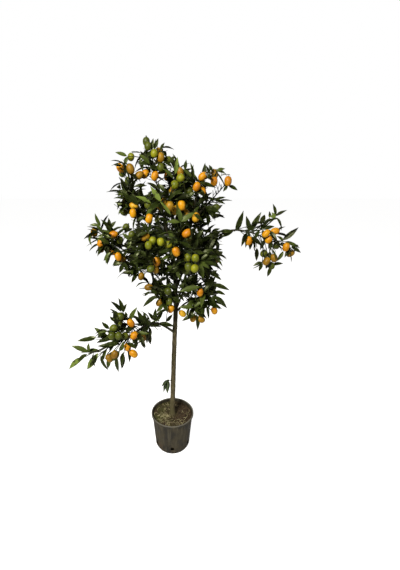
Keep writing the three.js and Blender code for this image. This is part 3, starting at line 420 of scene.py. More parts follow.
def bark_finish(name, dark, light, green, scale):
    """Bark: two tones in lengthwise streaks, green in patches, painted shade that darkens it up in the crown,
    with a rough grain.
    """
    bark = Finish(name)
    colour = bark.tinted(dark, light, bark.speckle(scale, 6, (1, 1, 0.16), 0.36, 0.66))
    patches = bark.speckle(38, 4, (1, 1, 0.5), 0.45, 0.66)
    colour = bark.tinted(colour, green, bark.times(patches, 0.6))
    # Painted shade: from 0.79 m to 0.87 m up, where the crown shades the wood, the bark is mixed towards a
    # third of its dark tone. The trunk, boughs, twigs, fruit stalks and caps all carry it.
    painted_crown_shade = bark.times(bark.ramp("Z", 0.79, 0.87), 0.85)
    colour = bark.tinted(colour, tuple(0.35 * v for v in dark), painted_crown_shade)
    bark.surface(colour, 0.86, 0.3)
    bark.raised(bark.speckle(900, 3, (1, 1, 0.4)), 0.0004, 0.7)
    return bark.material


trunk.data.materials.append(bark_finish("grey_tan_bark", (0.05, 0.039, 0.018), (0.16, 0.130, 0.068),
                                        (0.088, 0.084, 0.032), 160))
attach(trunk, "root")
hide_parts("trunk")


# ---- Boughs ----
# Young limbs that leave the trunk or one another and taper evenly to the ends of their masses of foliage.
# Their bark is smooth, olive to grey-brown, with a slight swelling at each old leaf joint.

# Name, middle and half sizes of the mass, seed, twigs, parent limb, share of it, path, radii at root and end.
MASSES = [
    ("top", (-75, -10, 1565), (95, 90, 125), 45, 2, "trunk", 1,
     [(-62, -2, 1512), (-74, -10, 1570), (-78, -12, 1627)], (3.4, 1.9)),
    ("upper_right", (112, -20, 1500), (95, 95, 88), 14, 2, "trunk", 0.62,
     [(48, 12, 1255), (90, 10, 1385), (110, -12, 1470), (118, -22, 1530)], (5, 1.9)),
    ("far_right", (202, 25, 1496), (85, 74, 74), 51, 2, "upper_right", 0.34,
     [(120, 22, 1385), (172, 26, 1440), (208, 26, 1480), (236, 22, 1514)], (3.4, 1.7)),
    ("centre_high", (0, -125, 1440), (120, 110, 115), 17, 3, "trunk", 0.6,
     [(10, -45, 1230), (4, -95, 1340), (-2, -125, 1420), (-4, -138, 1475)], (4.6, 1.9)),
    ("left_arm", (-266, -70, 1290), (110, 95, 104), 18, 3, "trunk", 0.475,
     [(-60, -6, 985), (-86, -20, 1065), (-96, -28, 1135), (-160, -50, 1225), (-245, -68, 1285),
      (-296, -72, 1310)], (7.2, 2.1)),
    ("upper_left", (-168, -50, 1485), (88, 105, 128), 12, 3, "left_arm", 0.52,
     [(-120, -36, 1270), (-146, -48, 1370), (-166, -50, 1460), (-174, -48, 1530)], (4.6, 1.9)),
    ("centre_left", (-110, -160, 1280), (105, 105, 100), 19, 2, "left_arm", 0.3,
     [(-88, -80, 1130), (-100, -135, 1225), (-114, -162, 1285), (-120, -172, 1325)], (4.4, 1.9)),
    ("centre", (40, -205, 1290), (95, 95, 110), 20, 2, "trunk", 0.54,
     [(26, -70, 1125), (38, -140, 1215), (42, -200, 1285), (44, -222, 1330)], (5, 1.9)),
    ("right_mid", (130, -90, 1250), (98, 115, 130), 21, 3, "trunk", 0.51,
     [(56, -20, 1060), (98, -48, 1150), (128, -84, 1240), (142, -98, 1310)], (5.6, 1.9)),
    ("right_reach", (420, -40, 1280), (175, 120, 160), 22, 9, "trunk", 0.565,
     [(72, 6, 1165), (151, -14, 1257), (225, -20, 1306), (275, -28, 1325), (345, -38, 1318), (437, -42, 1284),
      (540, -54, 1244)], (6, 2.1)),
    ("lower_left", (-150, -40, 1156), (108, 105, 80), 23, 3, "left_arm", 0.2,
     [(-120, -24, 1085), (-158, -38, 1130), (-190, -46, 1160)], (4.2, 1.9)),
    ("lower_mid", (-45, -120, 1045), (102, 95, 95), 24, 3, "trunk", 0.49,
     [(0, -48, 1000), (-28, -100, 1036), (-52, -140, 1062)], (4, 1.9)),
    ("lower_right", (122, -95, 1038), (116, 110, 112), 25, 3, "trunk", 0.465,
     [(60, -38, 972), (98, -70, 1010), (136, -96, 1036), (170, -112, 1048)], (5, 1.9)),
    ("low_left", (-228, -262, 940), (235, 200, 150), 26, 11, "trunk", 0.37,
     [(-56, -78, 882), (-104, -158, 926), (-146, -220, 928), (-190, -262, 914), (-295, -340, 900),
      (-342, -360, 892)], (6.4, 2)),
    ("heart", (-15, -100, 1150), (85, 75, 75), 27, 3, "trunk", 0.575,
     [(-14, -34, 1095), (-24, -85, 1138), (-24, -122, 1168)], (3.6, 1.9)),
    ("back_top", (10, 85, 1505), (115, 95, 115), 31, 3, "trunk", 0.74,
     [(2, 50, 1325), (6, 76, 1430), (10, 86, 1500), (12, 92, 1555)], (4.2, 1.9)),
    ("back_left_high", (-140, 105, 1400), (115, 110, 120), 32, 3, "trunk", 0.64,
     [(-50, 60, 1240), (-104, 88, 1330), (-142, 106, 1400), (-162, 118, 1450)], (4.4, 1.9)),
    ("back_right_high", (130, 130, 1370), (120, 115, 120), 33, 3, "trunk", 0.59,
     [(60, 60, 1190), (105, 98, 1285), (130, 130, 1365), (150, 148, 1420)], (4.6, 1.9)),
    ("back_left_low", (-150, 120, 1170), (120, 120, 110), 34, 3, "trunk", 0.5,
     [(-44, 44, 1040), (-100, 88, 1110), (-150, 122, 1172), (-192, 142, 1206)], (4.8, 1.9)),
    ("back_right_low", (130, 120, 1130), (130, 120, 120), 35, 3, "trunk", 0.47,
     [(56, 50, 1000), (98, 88, 1070), (130, 122, 1132), (162, 148, 1180)], (4.8, 1.9)),
    ("back_middle", (-10, 185, 1270), (110, 110, 120), 36, 3, "trunk", 0.55,
     [(0, 82, 1130), (-10, 140, 1200), (-12, 186, 1270), (-12, 212, 1330)], (4.6, 1.9)),
]
BOUGH_ROUND, BOUGH_STEP, BOUGH_FISSURE, BOUGH_FISSURE_LENGTH, LIMB_PARTS = 14, 4.5, 0.16, 14, 14
BLUNT_FROM, BLUNT_SHARE = 0.995, 0.6
JOINT_STEP, JOINT_FIRST, JOINT_SPREAD, JOINT_RISE, COLLAR_SHARE, COLLAR_LENGTH = 27, 9, 2.2, 0.32, 0.55, 11


def length_of(path):
    """Length of a run of points."""
    return float(np.linalg.norm(np.diff(path, axis=0), axis=1).sum())


curves = {"trunk": trunk_curve}
for name, middle, halves, seed, twig_count, parent, share, path, radii in MASSES:
    curves[name] = limb_curve([curves[parent](share), *path])

wood_points, wood_faces, total = [], [[], [], []], 0
limb_lines = []
for name, middle, halves, seed, twig_count, parent, share, path, radii in MASSES:
    curve = curves[name]
    length = length_of(curve(np.linspace(0, 1, 80)))
    t = np.linspace(0, 1, int(length / BOUGH_STEP))
    along = t * length
    joint = np.exp(-(((along + JOINT_FIRST) % JOINT_STEP - JOINT_FIRST) / JOINT_SPREAD) ** 2)
    radius = radii[0] + (radii[1] - radii[0]) * t + JOINT_RISE * joint
    radius = radius + radii[0] * COLLAR_SHARE * np.exp(-along / COLLAR_LENGTH)
    radius *= np.where(t > BLUNT_FROM, BLUNT_SHARE, 1)
    points, faces = barked_tube(curve, t, radius, BOUGH_ROUND, seed * 3 + 100, BOUGH_FISSURE,
                                BOUGH_FISSURE_LENGTH)
    wood_points.append(points)
    for group, made in zip(wood_faces, faces):
        group.append(made + total)
    total += len(points)
    spaced = curve(np.linspace(0, 1, LIMB_PARTS + 1))
    limb_lines += [(spaced[i], spaced[i + 1], radii[0] + (radii[1] - radii[0]) * i / LIMB_PARTS)
                   for i in range(LIMB_PARTS)]
boughs = mesh_piece("boughs", np.vstack(wood_points) * MM, [np.vstack(group) for group in wood_faces])
# Like all bark, the boughs are darkened up in the crown by painted shade.
boughs.data.materials.append(bark_finish("olive_young_bark", (0.035, 0.032, 0.014), (0.13, 0.112, 0.055),
                                         (0.055, 0.065, 0.020), 220))
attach(boughs, "root")
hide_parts(*[f"bough_{mass[0]}" for mass in MASSES if mass[6] != 1])


# ---- Growth of the crown ----
# Every mass grows from its own limb: fruiting twigs first, then twigs spread evenly through its space,
# and finer shoots on those. Leaves stand round each shoot a golden angle apart, the last one at its tip.

# Middle of each fruit, colour, and lean from upright towards +X in degrees.
# Fruit that hang in shade are given the darker turning colour, as painted shade.
FRUIT = [
    (-100, 0, 1668, "green", 0), (-92, -30, 1651, "green", 15), (-67, -42, 1625, "lime", 10),
    (-42, -30, 1611, "turning_and_shaded", 0), (-55, 15, 1629, "golden", 30), (-15, 10, 1602, "green", 70),
    (-42, -62, 1575, "green", -20), (-129, -62, 1547, "turning_and_shaded", 60), (-108, -30, 1551, "ripe", 45),
    (-65, -80, 1546, "ripe", 15), (-165, 0, 1613, "lime", 20), (-208, -20, 1572, "ripe", -35),
    (-159, -84, 1571, "turning_and_shaded", -15), (-207, 20, 1552, "green", 40), (-180, -18, 1524, "green", 15),
    (36, -50, 1559, "turning_and_shaded", -20), (36, -106, 1539, "lime", 45), (14, -128, 1516, "lime", 5),
    (4, -60, 1491, "turning_and_shaded", 10), (126, -60, 1543, "ripe", 50), (102, -75, 1506, "ripe", 25),
    (126, -50, 1491, "ripe", -40), (74, -45, 1487, "green", 30), (184, 32, 1549, "turning_and_shaded", -20),
    (175, -44, 1523, "ripe", 5), (237, -10, 1523, "ripe", 0), (195, 0, 1418, "green", 90),
    (40, -200, 1450, "ripe", -10), (57, -170, 1417, "turning_and_shaded", -60), (97, -165, 1401, "golden", 15),
    (-23, -165, 1454, "golden", -50), (-46, -130, 1439, "golden", -50), (-5, -218, 1448, "turning_and_shaded", 10),
    (17, -170, 1428, "golden", 20), (-92, -140, 1445, "green", 0), (-153, -90, 1435, "golden", -70),
    (-156, -108, 1408, "ripe", 0), (-197, -80, 1408, "green", -70), (-86, -180, 1399, "ripe", 20),
    (-196, -60, 1344, "green", 40), (-240, -120, 1326, "ripe", 85), (-298, -115, 1289, "ripe", 40),
    (-306, -85, 1258, "turning_and_shaded", 30), (-338, -50, 1319, "turning_and_shaded", 0), (-221, -95, 1296, "green", 0),
    (-230, -115, 1230, "ripe", -20), (-217, -80, 1209, "turning_and_shaded", 20), (-262, -85, 1245, "ripe", -60),
    (-162, -140, 1329, "green", 30), (-102, -205, 1334, "turning_and_shaded", 60), (-87, -240, 1309, "lime", 0),
    (-73, -203, 1318, "lime", 30), (-39, -255, 1326, "lime", -10), (-11, -225, 1308, "lime", 80),
    (19, -280, 1295, "ripe", -20), (60, -260, 1359, "ripe", 60), (-58, -200, 1234, "ripe", 0),
    (-65, -196, 1199, "turning_and_shaded", 0), (-84, -218, 1208, "green", 60), (65, -232, 1259, "lime", 20),
    (94, -260, 1264, "lime", 0), (68, -262, 1230, "green", -20), (91, -282, 1230, "lime", 10),
    (60, -215, 1200, "green", 30), (200, -70, 1201, "turning_and_shaded", 60), (334, -80, 1290, "ripe", 5),
    (404, -85, 1322, "ripe", 45), (445, -70, 1329, "ripe", 80), (422, -74, 1294, "ripe", 30),
    (500, -80, 1263, "ripe", 10), (536, -45, 1225, "turning_and_shaded", 60), (473, -30, 1258, "green", 0),
    (417, -40, 1224, "green", 30), (420, -90, 1202, "turning_and_shaded", 30), (454, -80, 1214, "turning_and_shaded", -20),
    (453, -60, 1172, "green", -20), (-139, -80, 1129, "turning_and_shaded", 15), (-103, -122, 1092, "turning_and_shaded", 80),
    (-15, -185, 1098, "green", 20), (-10, -175, 1045, "green", 0), (-4, -165, 1005, "ripe", 15),
    (-55, -140, 1025, "turning_and_shaded", 40), (123, -185, 1092, "ripe", 5), (50, -116, 958, "golden", -50),
    (101, -120, 935, "golden", 20), (135, -150, 945, "turning_and_shaded", -60), (200, -105, 969, "ripe", -15),
    (-204, -325, 1045, "green", 30), (-215, -290, 1002, "green", 0), (-166, -305, 1006, "ripe", -30),
    (-231, -340, 1001, "green", 50), (-235, -368, 982, "green", 0), (-206, -378, 987, "green", 10),
    (-189, -345, 967, "green", 80), (-153, -328, 960, "ripe", 45), (-129, -240, 900, "turning_and_shaded", -20),
    (-180, -345, 915, "ripe", -5), (-154, -368, 898, "ripe", -40), (-232, -365, 892, "turning_and_shaded", 20),
    (-260, -345, 861, "turning_and_shaded", -20), (-20, 125, 1535, "ripe", 10), (55, 125, 1505, "green", -20),
    (-170, 155, 1420, "ripe", 20), (-110, 150, 1370, "ripe", -15), (160, 180, 1395, "ripe", 0),
    (90, 180, 1350, "lime", 30), (-180, 170, 1160, "ripe", 10), (-110, 165, 1200, "golden", -30),
    (170, 160, 1120, "ripe", -10), (100, 175, 1090, "ripe", 25), (-40, 225, 1270, "ripe", 0),
    (25, 230, 1230, "green", 15),
]
# Ends of the leafy twigs on the two long arms.
ARM_TWIGS = {
    "right_reach": [
        (295, -40, 1346), (340, -50, 1350), (395, -40, 1352), (445, -40, 1384), (545, -60, 1236),
        (435, -60, 1185), (380, -50, 1255), (340, 40, 1300), (470, 30, 1262),
    ],
    "low_left": [
        (-145, -200, 972), (-95, -145, 942), (-205, -280, 1042), (-255, -330, 985), (-305, -350, 956),
        (-312, -352, 876), (-235, -320, 852), (-205, -300, 855), (-118, -236, 922), (-190, -185, 925),
        (-262, -270, 950),
    ],
}
# Leading sprays that draw the outline and the front of the crown: tone, foot of the spray, leaf tips.
SPRAYS = [
    ("dark", (-80, -25, 1635), [(-70, -20, 1680), (-100, -40, 1610)]),
    ("dark", (-70, -25, 1640), [(-50, -25, 1680)]),
    ("dark", (-45, -20, 1635), [(-25, -20, 1665), (-20, -30, 1610)]),
    ("mid", (-125, -30, 1610), [(-115, -40, 1560)]),
    ("dark", (-95, -35, 1615), [(-90, -50, 1575), (-125, -35, 1595)]),
    ("mid", (-175, -30, 1615), [(-225, -30, 1630), (-190, -40, 1580)]),
    ("dark", (-195, -60, 1580), [(-230, -55, 1585)]),
    ("dark", (-100, -70, 1510), [(-155, -70, 1505)]),
    ("dark", (-130, -100, 1435), [(-210, -100, 1500), (-195, -80, 1505)]),
    ("mid", (-180, -90, 1425), [(-225, -90, 1445)]),
    ("fresh", (-75, -150, 1450), [(-140, -160, 1480)]),
    ("dark", (5, -50, 1575), [(-35, -50, 1600)]),
    ("dark", (-5, -40, 1590), [(15, -40, 1620)]),
    ("fresh", (15, -60, 1550), [(25, -60, 1615)]),
    ("dark", (55, -50, 1565), [(60, -50, 1605)]),
    ("mid", (90, -50, 1535), [(75, -50, 1595), (45, -65, 1570)]),
    ("mid", (10, -80, 1535), [(-35, -80, 1575)]),
    ("dark", (165, 0, 1540), [(140, 0, 1585), (130, -15, 1560)]),
    ("dark", (170, 0, 1560), [(215, -10, 1530), (155, 5, 1585)]),
    ("mid", (185, 0, 1560), [(225, 0, 1570), (230, 0, 1550)]),
    ("dark", (240, 5, 1505), [(285, 5, 1485), (220, 0, 1480)]),
    ("dark", (185, -5, 1445), [(235, -5, 1460), (235, -5, 1430), (150, 5, 1460)]),
    ("dark", (105, -70, 1520), [(185, -65, 1500)]),
    ("dark", (140, -60, 1430), [(210, -60, 1400), (200, -60, 1380), (180, -70, 1375)]),
    ("fresh", (-35, -225, 1465), [(-75, -225, 1520)]),
    ("fresh", (0, -240, 1420), [(-40, -240, 1470)]),
    ("dark", (-20, -190, 1495), [(35, -190, 1505), (-50, -180, 1525)]),
    ("dark", (60, -180, 1465), [(95, -180, 1500), (85, -190, 1445)]),
    ("mid", (35, -270, 1400), [(30, -270, 1450), (90, -260, 1435), (-20, -270, 1400)]),
    ("dark", (85, -200, 1420), [(125, -200, 1390), (110, -200, 1450)]),
    ("mid", (-300, -75, 1350), [(-320, -75, 1405), (-350, -75, 1355)]),
    ("dark", (-260, -95, 1345), [(-260, -95, 1390), (-230, -90, 1375)]),
    ("mid", (-285, -105, 1320), [(-320, -105, 1365), (-315, -115, 1295), (-240, -115, 1305)]),
    ("dark", (-315, -100, 1260), [(-330, -100, 1235)]),
    ("mid", (-260, -115, 1250), [(-295, -115, 1210), (-285, -125, 1200), (-225, -130, 1285)]),
    ("dark", (-210, -110, 1200), [(-260, -110, 1185), (-230, -110, 1155), (-190, -110, 1165)]),
    ("dark", (-155, -90, 1155), [(-225, -90, 1145), (-180, -100, 1105), (-125, -90, 1180)]),
    ("dark", (-95, -130, 1075), [(-125, -130, 1050), (-65, -140, 1110)]),
    ("dark", (-90, -220, 1355), [(-115, -220, 1395), (-75, -220, 1390), (-135, -230, 1340)]),
    ("dark", (-100, -190, 1405), [(-135, -190, 1390)]),
    ("dark", (-125, -200, 1280), [(-170, -200, 1295), (-155, -210, 1250), (-95, -210, 1250)]),
    ("mid", (-165, -160, 1310), [(-200, -160, 1340), (-180, -170, 1275)]),
    ("dark", (0, -265, 1300), [(-50, -265, 1285), (15, -275, 1255)]),
    ("dark", (55, -230, 1325), [(90, -230, 1370), (100, -240, 1320)]),
    ("dark", (85, -240, 1295), [(25, -240, 1325), (105, -240, 1335)]),
    ("dark", (115, -230, 1245), [(200, -210, 1255), (190, -230, 1220), (150, -230, 1275)]),
    ("mid", (110, -240, 1245), [(155, -240, 1215), (130, -250, 1175)]),
    ("mid", (20, -220, 1205), [(35, -230, 1165), (-20, -220, 1220)]),
    ("dark", (170, -70, 1325), [(130, -70, 1330), (155, -70, 1350), (210, -70, 1340)]),
    ("dark", (200, -70, 1290), [(200, -80, 1240), (235, -70, 1315)]),
    ("dark", (165, -180, 1175), [(215, -180, 1145), (195, -180, 1190)]),
    ("dark", (170, -170, 1125), [(255, -170, 1095), (140, -180, 1090)]),
    ("dark", (190, -160, 1090), [(240, -160, 1070)]),
    ("dark", (180, -160, 1070), [(250, -160, 1005), (185, -175, 1035)]),
    ("mid", (125, -200, 1125), [(30, -200, 1100)]),
    ("dark", (155, -160, 1020), [(170, -160, 950), (200, -160, 985)]),
    ("mid", (100, -170, 1015), [(30, -170, 1015), (140, -170, 1045)]),
    ("dark", (110, -160, 980), [(45, -160, 940), (150, -160, 960), (120, -160, 890)]),
    ("dark", (-60, -170, 1075), [(-130, -170, 1015), (-95, -170, 1100)]),
    ("mid", (-35, -170, 1030), [(-70, -170, 990), (5, -170, 995)]),
    ("dark", (0, -180, 1070), [(40, -180, 1040), (-25, -180, 1115)]),
    ("dark", (275, -30, 1320), [(200, -40, 1320), (220, -20, 1290)]),
    ("dark", (280, -30, 1320), [(310, -30, 1410), (315, -10, 1370)]),
    ("dark", (345, -40, 1320), [(320, -40, 1390), (385, -40, 1405), (325, -70, 1255)]),
    ("dark", (350, -50, 1305), [(350, -50, 1240), (375, -50, 1245)]),
    ("dark", (385, -45, 1330), [(425, -45, 1370), (360, -60, 1285)]),
    ("dark", (395, -45, 1330), [(450, -45, 1345), (420, -50, 1275)]),
    ("fresh", (445, -50, 1380), [(425, -50, 1405), (410, -60, 1390)]),
    ("dark", (445, -50, 1385), [(425, -50, 1440), (480, -50, 1325)]),
    ("dark", (420, -50, 1380), [(415, -50, 1410)]),
    ("mid", (495, -50, 1280), [(575, -50, 1250), (460, -50, 1305)]),
    ("dark", (530, -55, 1255), [(580, -55, 1230), (565, -55, 1265), (505, -65, 1210)]),
    ("dark", (405, -75, 1195), [(365, -75, 1175), (395, -75, 1150)]),
    ("dark", (450, -65, 1175), [(440, -65, 1120), (505, -65, 1185), (405, -55, 1225)]),
    ("mid", (500, -55, 1240), [(475, -55, 1190)]),
    ("dark", (-200, -270, 1035), [(-215, -270, 1105), (-185, -250, 1070)]),
    ("dark", (-185, -275, 1020), [(-190, -275, 1045), (-160, -285, 975)]),
    ("dark", (-230, -290, 1005), [(-255, -290, 1030), (-205, -315, 980)]),
    ("dark", (-255, -310, 980), [(-285, -310, 1015)]),
    ("mid", (-265, -315, 970), [(-295, -315, 975), (-220, -325, 980)]),
    ("dark", (-305, -325, 950), [(-370, -325, 935), (-265, -335, 975)]),
    ("dark", (-235, -320, 945), [(-315, -320, 920), (-305, -310, 945)]),
    ("dark", (-240, -330, 910), [(-310, -330, 910), (-210, -345, 955)]),
    ("mid", (-340, -350, 895), [(-410, -350, 925), (-335, -350, 940)]),
    ("fresh", (-355, -355, 875), [(-435, -355, 810)]),
    ("fresh", (-300, -350, 895), [(-360, -350, 805)]),
    ("mid", (-210, -360, 905), [(-245, -360, 855), (-190, -370, 960)]),
    ("dark", (-225, -355, 880), [(-225, -355, 795)]),
    ("dark", (-195, -350, 900), [(-210, -350, 815), (-170, -350, 940)]),
    ("mid", (-260, -350, 870), [(-270, -350, 810)]),
    ("dark", (-150, -300, 930), [(-155, -300, 875)]),
    ("dark", (-135, -245, 895), [(-120, -245, 845)]),
    ("dark", (-110, -190, 910), [(-115, -190, 835), (-100, -180, 825)]),
    ("dark", (-120, -180, 925), [(-175, -180, 985), (-155, -180, 1010), (-125, -180, 1000),
                                 (-105, -180, 980)]),
    ("dark", (-80, -110, 915), [(-115, -110, 965), (-75, -110, 985), (-105, -125, 895), (-40, -110, 965)]),
    ("dark", (-70, -80, 890), [(15, -80, 870), (-120, -100, 875)]),
    ("dark", (-30, -40, 875), [(5, -40, 920)]),
    ("dark", (60, -130, 1115), [(64, -130, 1162), (118, -125, 1155), (30, -130, 1085)]),
    ("dark", (30, -110, 1058), [(58, -120, 1020), (15, -120, 1000), (-20, -105, 1105)]),
    ("dark", (160, -120, 1165), [(215, -120, 1145), (180, -120, 1215)]),
    ("dark", (-210, -95, 1199), [(-262, -100, 1181), (-234, -100, 1150), (-190, -100, 1158)]),
    ("dark", (-150, -95, 1157), [(-222, -100, 1152), (-184, -100, 1102)]),
    ("dark", (-262, -95, 1242), [(-300, -100, 1206), (-286, -100, 1186)]),
    ("dark", (118, -200, 1262), [(172, -200, 1284), (196, -190, 1214), (160, -195, 1196)]),
    ("dark", (121, 10, 1120), [(60, 10, 1098), (165, 10, 1085), (178, 10, 1145), (108, 10, 1056)]),
    ("dark", (-18, -20, 1105), [(-72, -20, 1078), (36, -20, 1085), (-14, -20, 1030), (30, -10, 1150)]),
    ("dark", (44, 0, 1143), [(-6, 0, 1120), (92, 0, 1162)]),
]
FRUIT_LENGTH, FRUIT_WIDTH, KNOT_SUNK, STALK_RISE, STALK_SUNK = 41, 32, 3, 5, 2
GOLDEN, FULL_TURN = 2.39996, 6.28
LEAF_LENGTH, LEAF_WIDTH = 92, 25
SMALL_LEAF, LARGE_LEAF, LEAF_SPREAD = 0.78, 0.95, 0.3
SMALL_ABOVE, SMALL_WITHIN = 1620, 420
FINER_TWIGS, FINER_ON_ARMS, FINER_TURN, ARM_LEAF = 1.5, 0.2, 1.3, 0.88
OPEN_MASSES, OPEN_GROWTH, LEAF_EVERY = ("top", "upper_right", "far_right", "upper_left"), 0.7, 21
SHOOT_POINTS, COLLAR_LEAVES, CROWDING, COMMON_TONES = 7, 3, 16, 0.86
TWIG_RADII, SIDE_RADII, SPUR_RADII, LEADING_RADII = (1.9, 1.3), (1.2, 0.9), (1.3, 0.9), (2.3, 1.5)
SHORTEST_TWIG, TWO_SIDE_SHOOTS, SIDE_REACH, TWIG_ROOM, TWIG_BOW = 14, 45, 26, 4, 0.12
DRAWS, TRUNK_PARTS, FINER_SEED, SPRAY_SEED = 8, 40, 500, 3000

# A leaf: its mass, foot, direction, upper side, share of the full length, bow, fold, wave, tip and tone.
Leaf = namedtuple("Leaf", "own foot along up size bow fold wave tip tone", defaults=(None, 0))
Kumquat = namedtuple("Kumquat", "centre axis colour grown")


def mulberry(seed):
    """The source's seeded draws: a 32-bit state stepped by 0x6D2B79F5 and mixed by multiply and shift."""
    state = seed * 7919

    def draw():
        nonlocal state
        state = (state + 0x6D2B79F5) & 0xFFFFFFFF
        mixed = ((state ^ (state >> 15)) * (1 | state)) & 0xFFFFFFFF
        mixed ^= (mixed + (((mixed ^ (mixed >> 7)) * (61 | mixed)) & 0xFFFFFFFF)) & 0xFFFFFFFF
        return (mixed ^ (mixed >> 14)) / 4294967296
    return draw


def unit(v):
    """Vector of length one."""
    return v / max(float(np.linalg.norm(v)), 1e-9)


def tilted(axis, tilt, bearing):
    """Direction that leans from an axis by tilt, towards a bearing round it."""
    across = unit(np.cross([0.31, 0.17, 0.93], axis))
    other = np.cross(axis, across)
    return axis * math.cos(tilt) + math.sin(tilt) * (across * math.cos(bearing) + other * math.sin(bearing))


MIDDLES = np.array([mass[1] for mass in MASSES], float)
HALVES = np.array([mass[2] for mass in MASSES], float)
PULLS = HALVES.mean(1) ** 2


def room_around(own, point):
    """Distance to the nearest wall between the mass's space and a neighbour's, less than zero outside."""
    reach = ((point - MIDDLES) ** 2).sum(1) - PULLS
    apart = 2 * np.linalg.norm(MIDDLES - MIDDLES[own], axis=1)
    apart[own] = 1
    walls = (reach - reach[own]) / apart
    walls[own] = 1e9
    return float(walls.min())


def owner_of(point):
    """Number of the mass in whose space a point lies deepest."""
    return int(np.argmax([room_around(own, point) for own in range(len(MASSES))]))


def reach_of(own, point):
    """Share of the mass's half sizes at which a point lies."""
    return float(np.linalg.norm((point - MIDDLES[own]) / HALVES[own]))


stations = np.linspace(0, 1, TRUNK_PARTS + 1)
limb_lines += list(zip(trunk_curve(stations)[:-1], trunk_curve(stations)[1:], trunk_radius(stations)[:-1]))
limb_from, limb_to, limb_thick = (np.array(column) for column in zip(*limb_lines))


def clear_of_limbs(point, room):
    """True where a point stands off every limb by its radius and some room."""
    span = limb_to - limb_from
    share = np.clip(((point - limb_from) * span).sum(1) / (span ** 2).sum(1), 0, 1)
    gap = np.linalg.norm(point - (limb_from + span * share[:, None]), axis=1)
    return bool((gap > limb_thick + room).all())


def entry_of(own, curve, radii):
    """Share of a limb's path at which it enters its mass."""
    entry = 0.98
    while entry > 0:
        point = curve(entry)
        thick = radii[0] + (radii[1] - radii[0]) * entry
        if not (room_around(own, point) > thick + 3 and (entry > 0.7 or reach_of(own, point) <= 0.95)):
            break
        entry -= 0.005
    return entry


def foot_for(curve, start, goal, back):
    """Share of the limb's path from which a shoot can reach a goal while it leans the way the limb grows."""
    shares = np.arange(start, 1.0001, 0.02)
    near = shares[np.argmin(np.linalg.norm(curve(shares) - goal, axis=1))]
    return max(start + (1 - start) * 0.1, near - back * (1 - start))


def bent(root, bend, tip):
    """Quadratic curve (1-s)² root + 2s(1-s) bend + s² tip, as an array of points."""
    s = np.linspace(0, 1, SHOOT_POINTS)[:, None]
    return (1 - s) ** 2 * root + 2 * s * (1 - s) * bend + s ** 2 * tip


shoots, stalks, fruit, leaves = [], [], [], []


def bear_leaves(own, path, count, spray, first, closed):
    """Leaves round a shoot: bearing grows by the golden angle, tilt falls from its foot to its tip."""
    heading = unit(path[-1] - path[-2])
    for n in range(count):
        share = 0.97 - 0.82 * n / max(count, 1) + 0.04 * (spray() - 0.5)
        foot = np.array([np.interp(share, np.linspace(0, 1, len(path)), column) for column in path.T])
        index = min(int(share * (len(path) - 1)), len(path) - 2)
        along = unit(path[index + 1] - path[index])
        if n == 0 and closed:
            foot, direction = path[-1], tilted(heading, 0.15 + 0.2 * spray(), spray() * FULL_TURN)
        else:
            direction = tilted(along, 0.45 + 0.55 * (1 - share) + 0.35 * spray(), first + n * GOLDEN)
        low_down = min(max((SMALL_ABOVE - foot[2]) / SMALL_WITHIN, 0), 1)
        size = SMALL_LEAF + (LARGE_LEAF - SMALL_LEAF) * low_down + LEAF_SPREAD * (spray() - 0.3)
        size *= (0.85 if n == 0 else 1) * (1 - 0.12 * (share < 0.35))
        size *= ARM_LEAF if MASSES[own][0] in ARM_TWIGS else 1
        outward = foot - MIDDLES[own]
        up = np.array([outward[0] / HALVES[own][0], 1.1 * outward[1] / HALVES[own][1], 0.65])
        up += np.cross(direction, [0, 0, 1]) * (spray() - 0.5) * 1.2 + 0.25 * heading
        droop, fold, wave = 0.25 + 0.75 * spray(), 0.15 + 0.3 * spray(), spray() * FULL_TURN
        tip = foot + direction * LEAF_LENGTH * size * 0.97 - unit(up) * LEAF_LENGTH * size * droop * 0.4
        leaves.append(Leaf(own, foot, direction, up, size, droop, fold, wave, tip, COMMON_TONES * spray()))


def bear_shoot(own, place, tip, sag, radii, spray):
    """A short shoot that sags a little on its way to its tip, with three or four leaves."""
    shoot = bent(place, (place + tip) / 2 - [0, 0, sag], tip)
    shoots.append((shoot, radii))
    bear_leaves(own, shoot, 3 + int(spray() * 2), spray, spray() * FULL_TURN, True)


def bear_collar(own, twig, away, bearing, spray):
    """A drooping leaf beside the knot that a fruit hangs from."""
    direction = unit(np.array([math.cos(bearing), math.sin(bearing), 0.25 * spray()]) + 0.3 * away)
    size, bow = 0.5 + 0.35 * spray(), 0.7 + 0.8 * spray()
    foot = twig[-1] * 0.7 + twig[-2] * 0.3 + [0, 0, 2]
    tip = foot + LEAF_LENGTH * size * (direction * 0.85 - np.array([0, 0, bow * 0.42]))
    up = np.array([0.0, 0.0, 1.0]) + direction * 0.01
    leaves.append(Leaf(own, foot, direction, up, size, bow, 0.15 + 0.3 * spray(), spray() * FULL_TURN, tip,
                       COMMON_TONES * spray()))


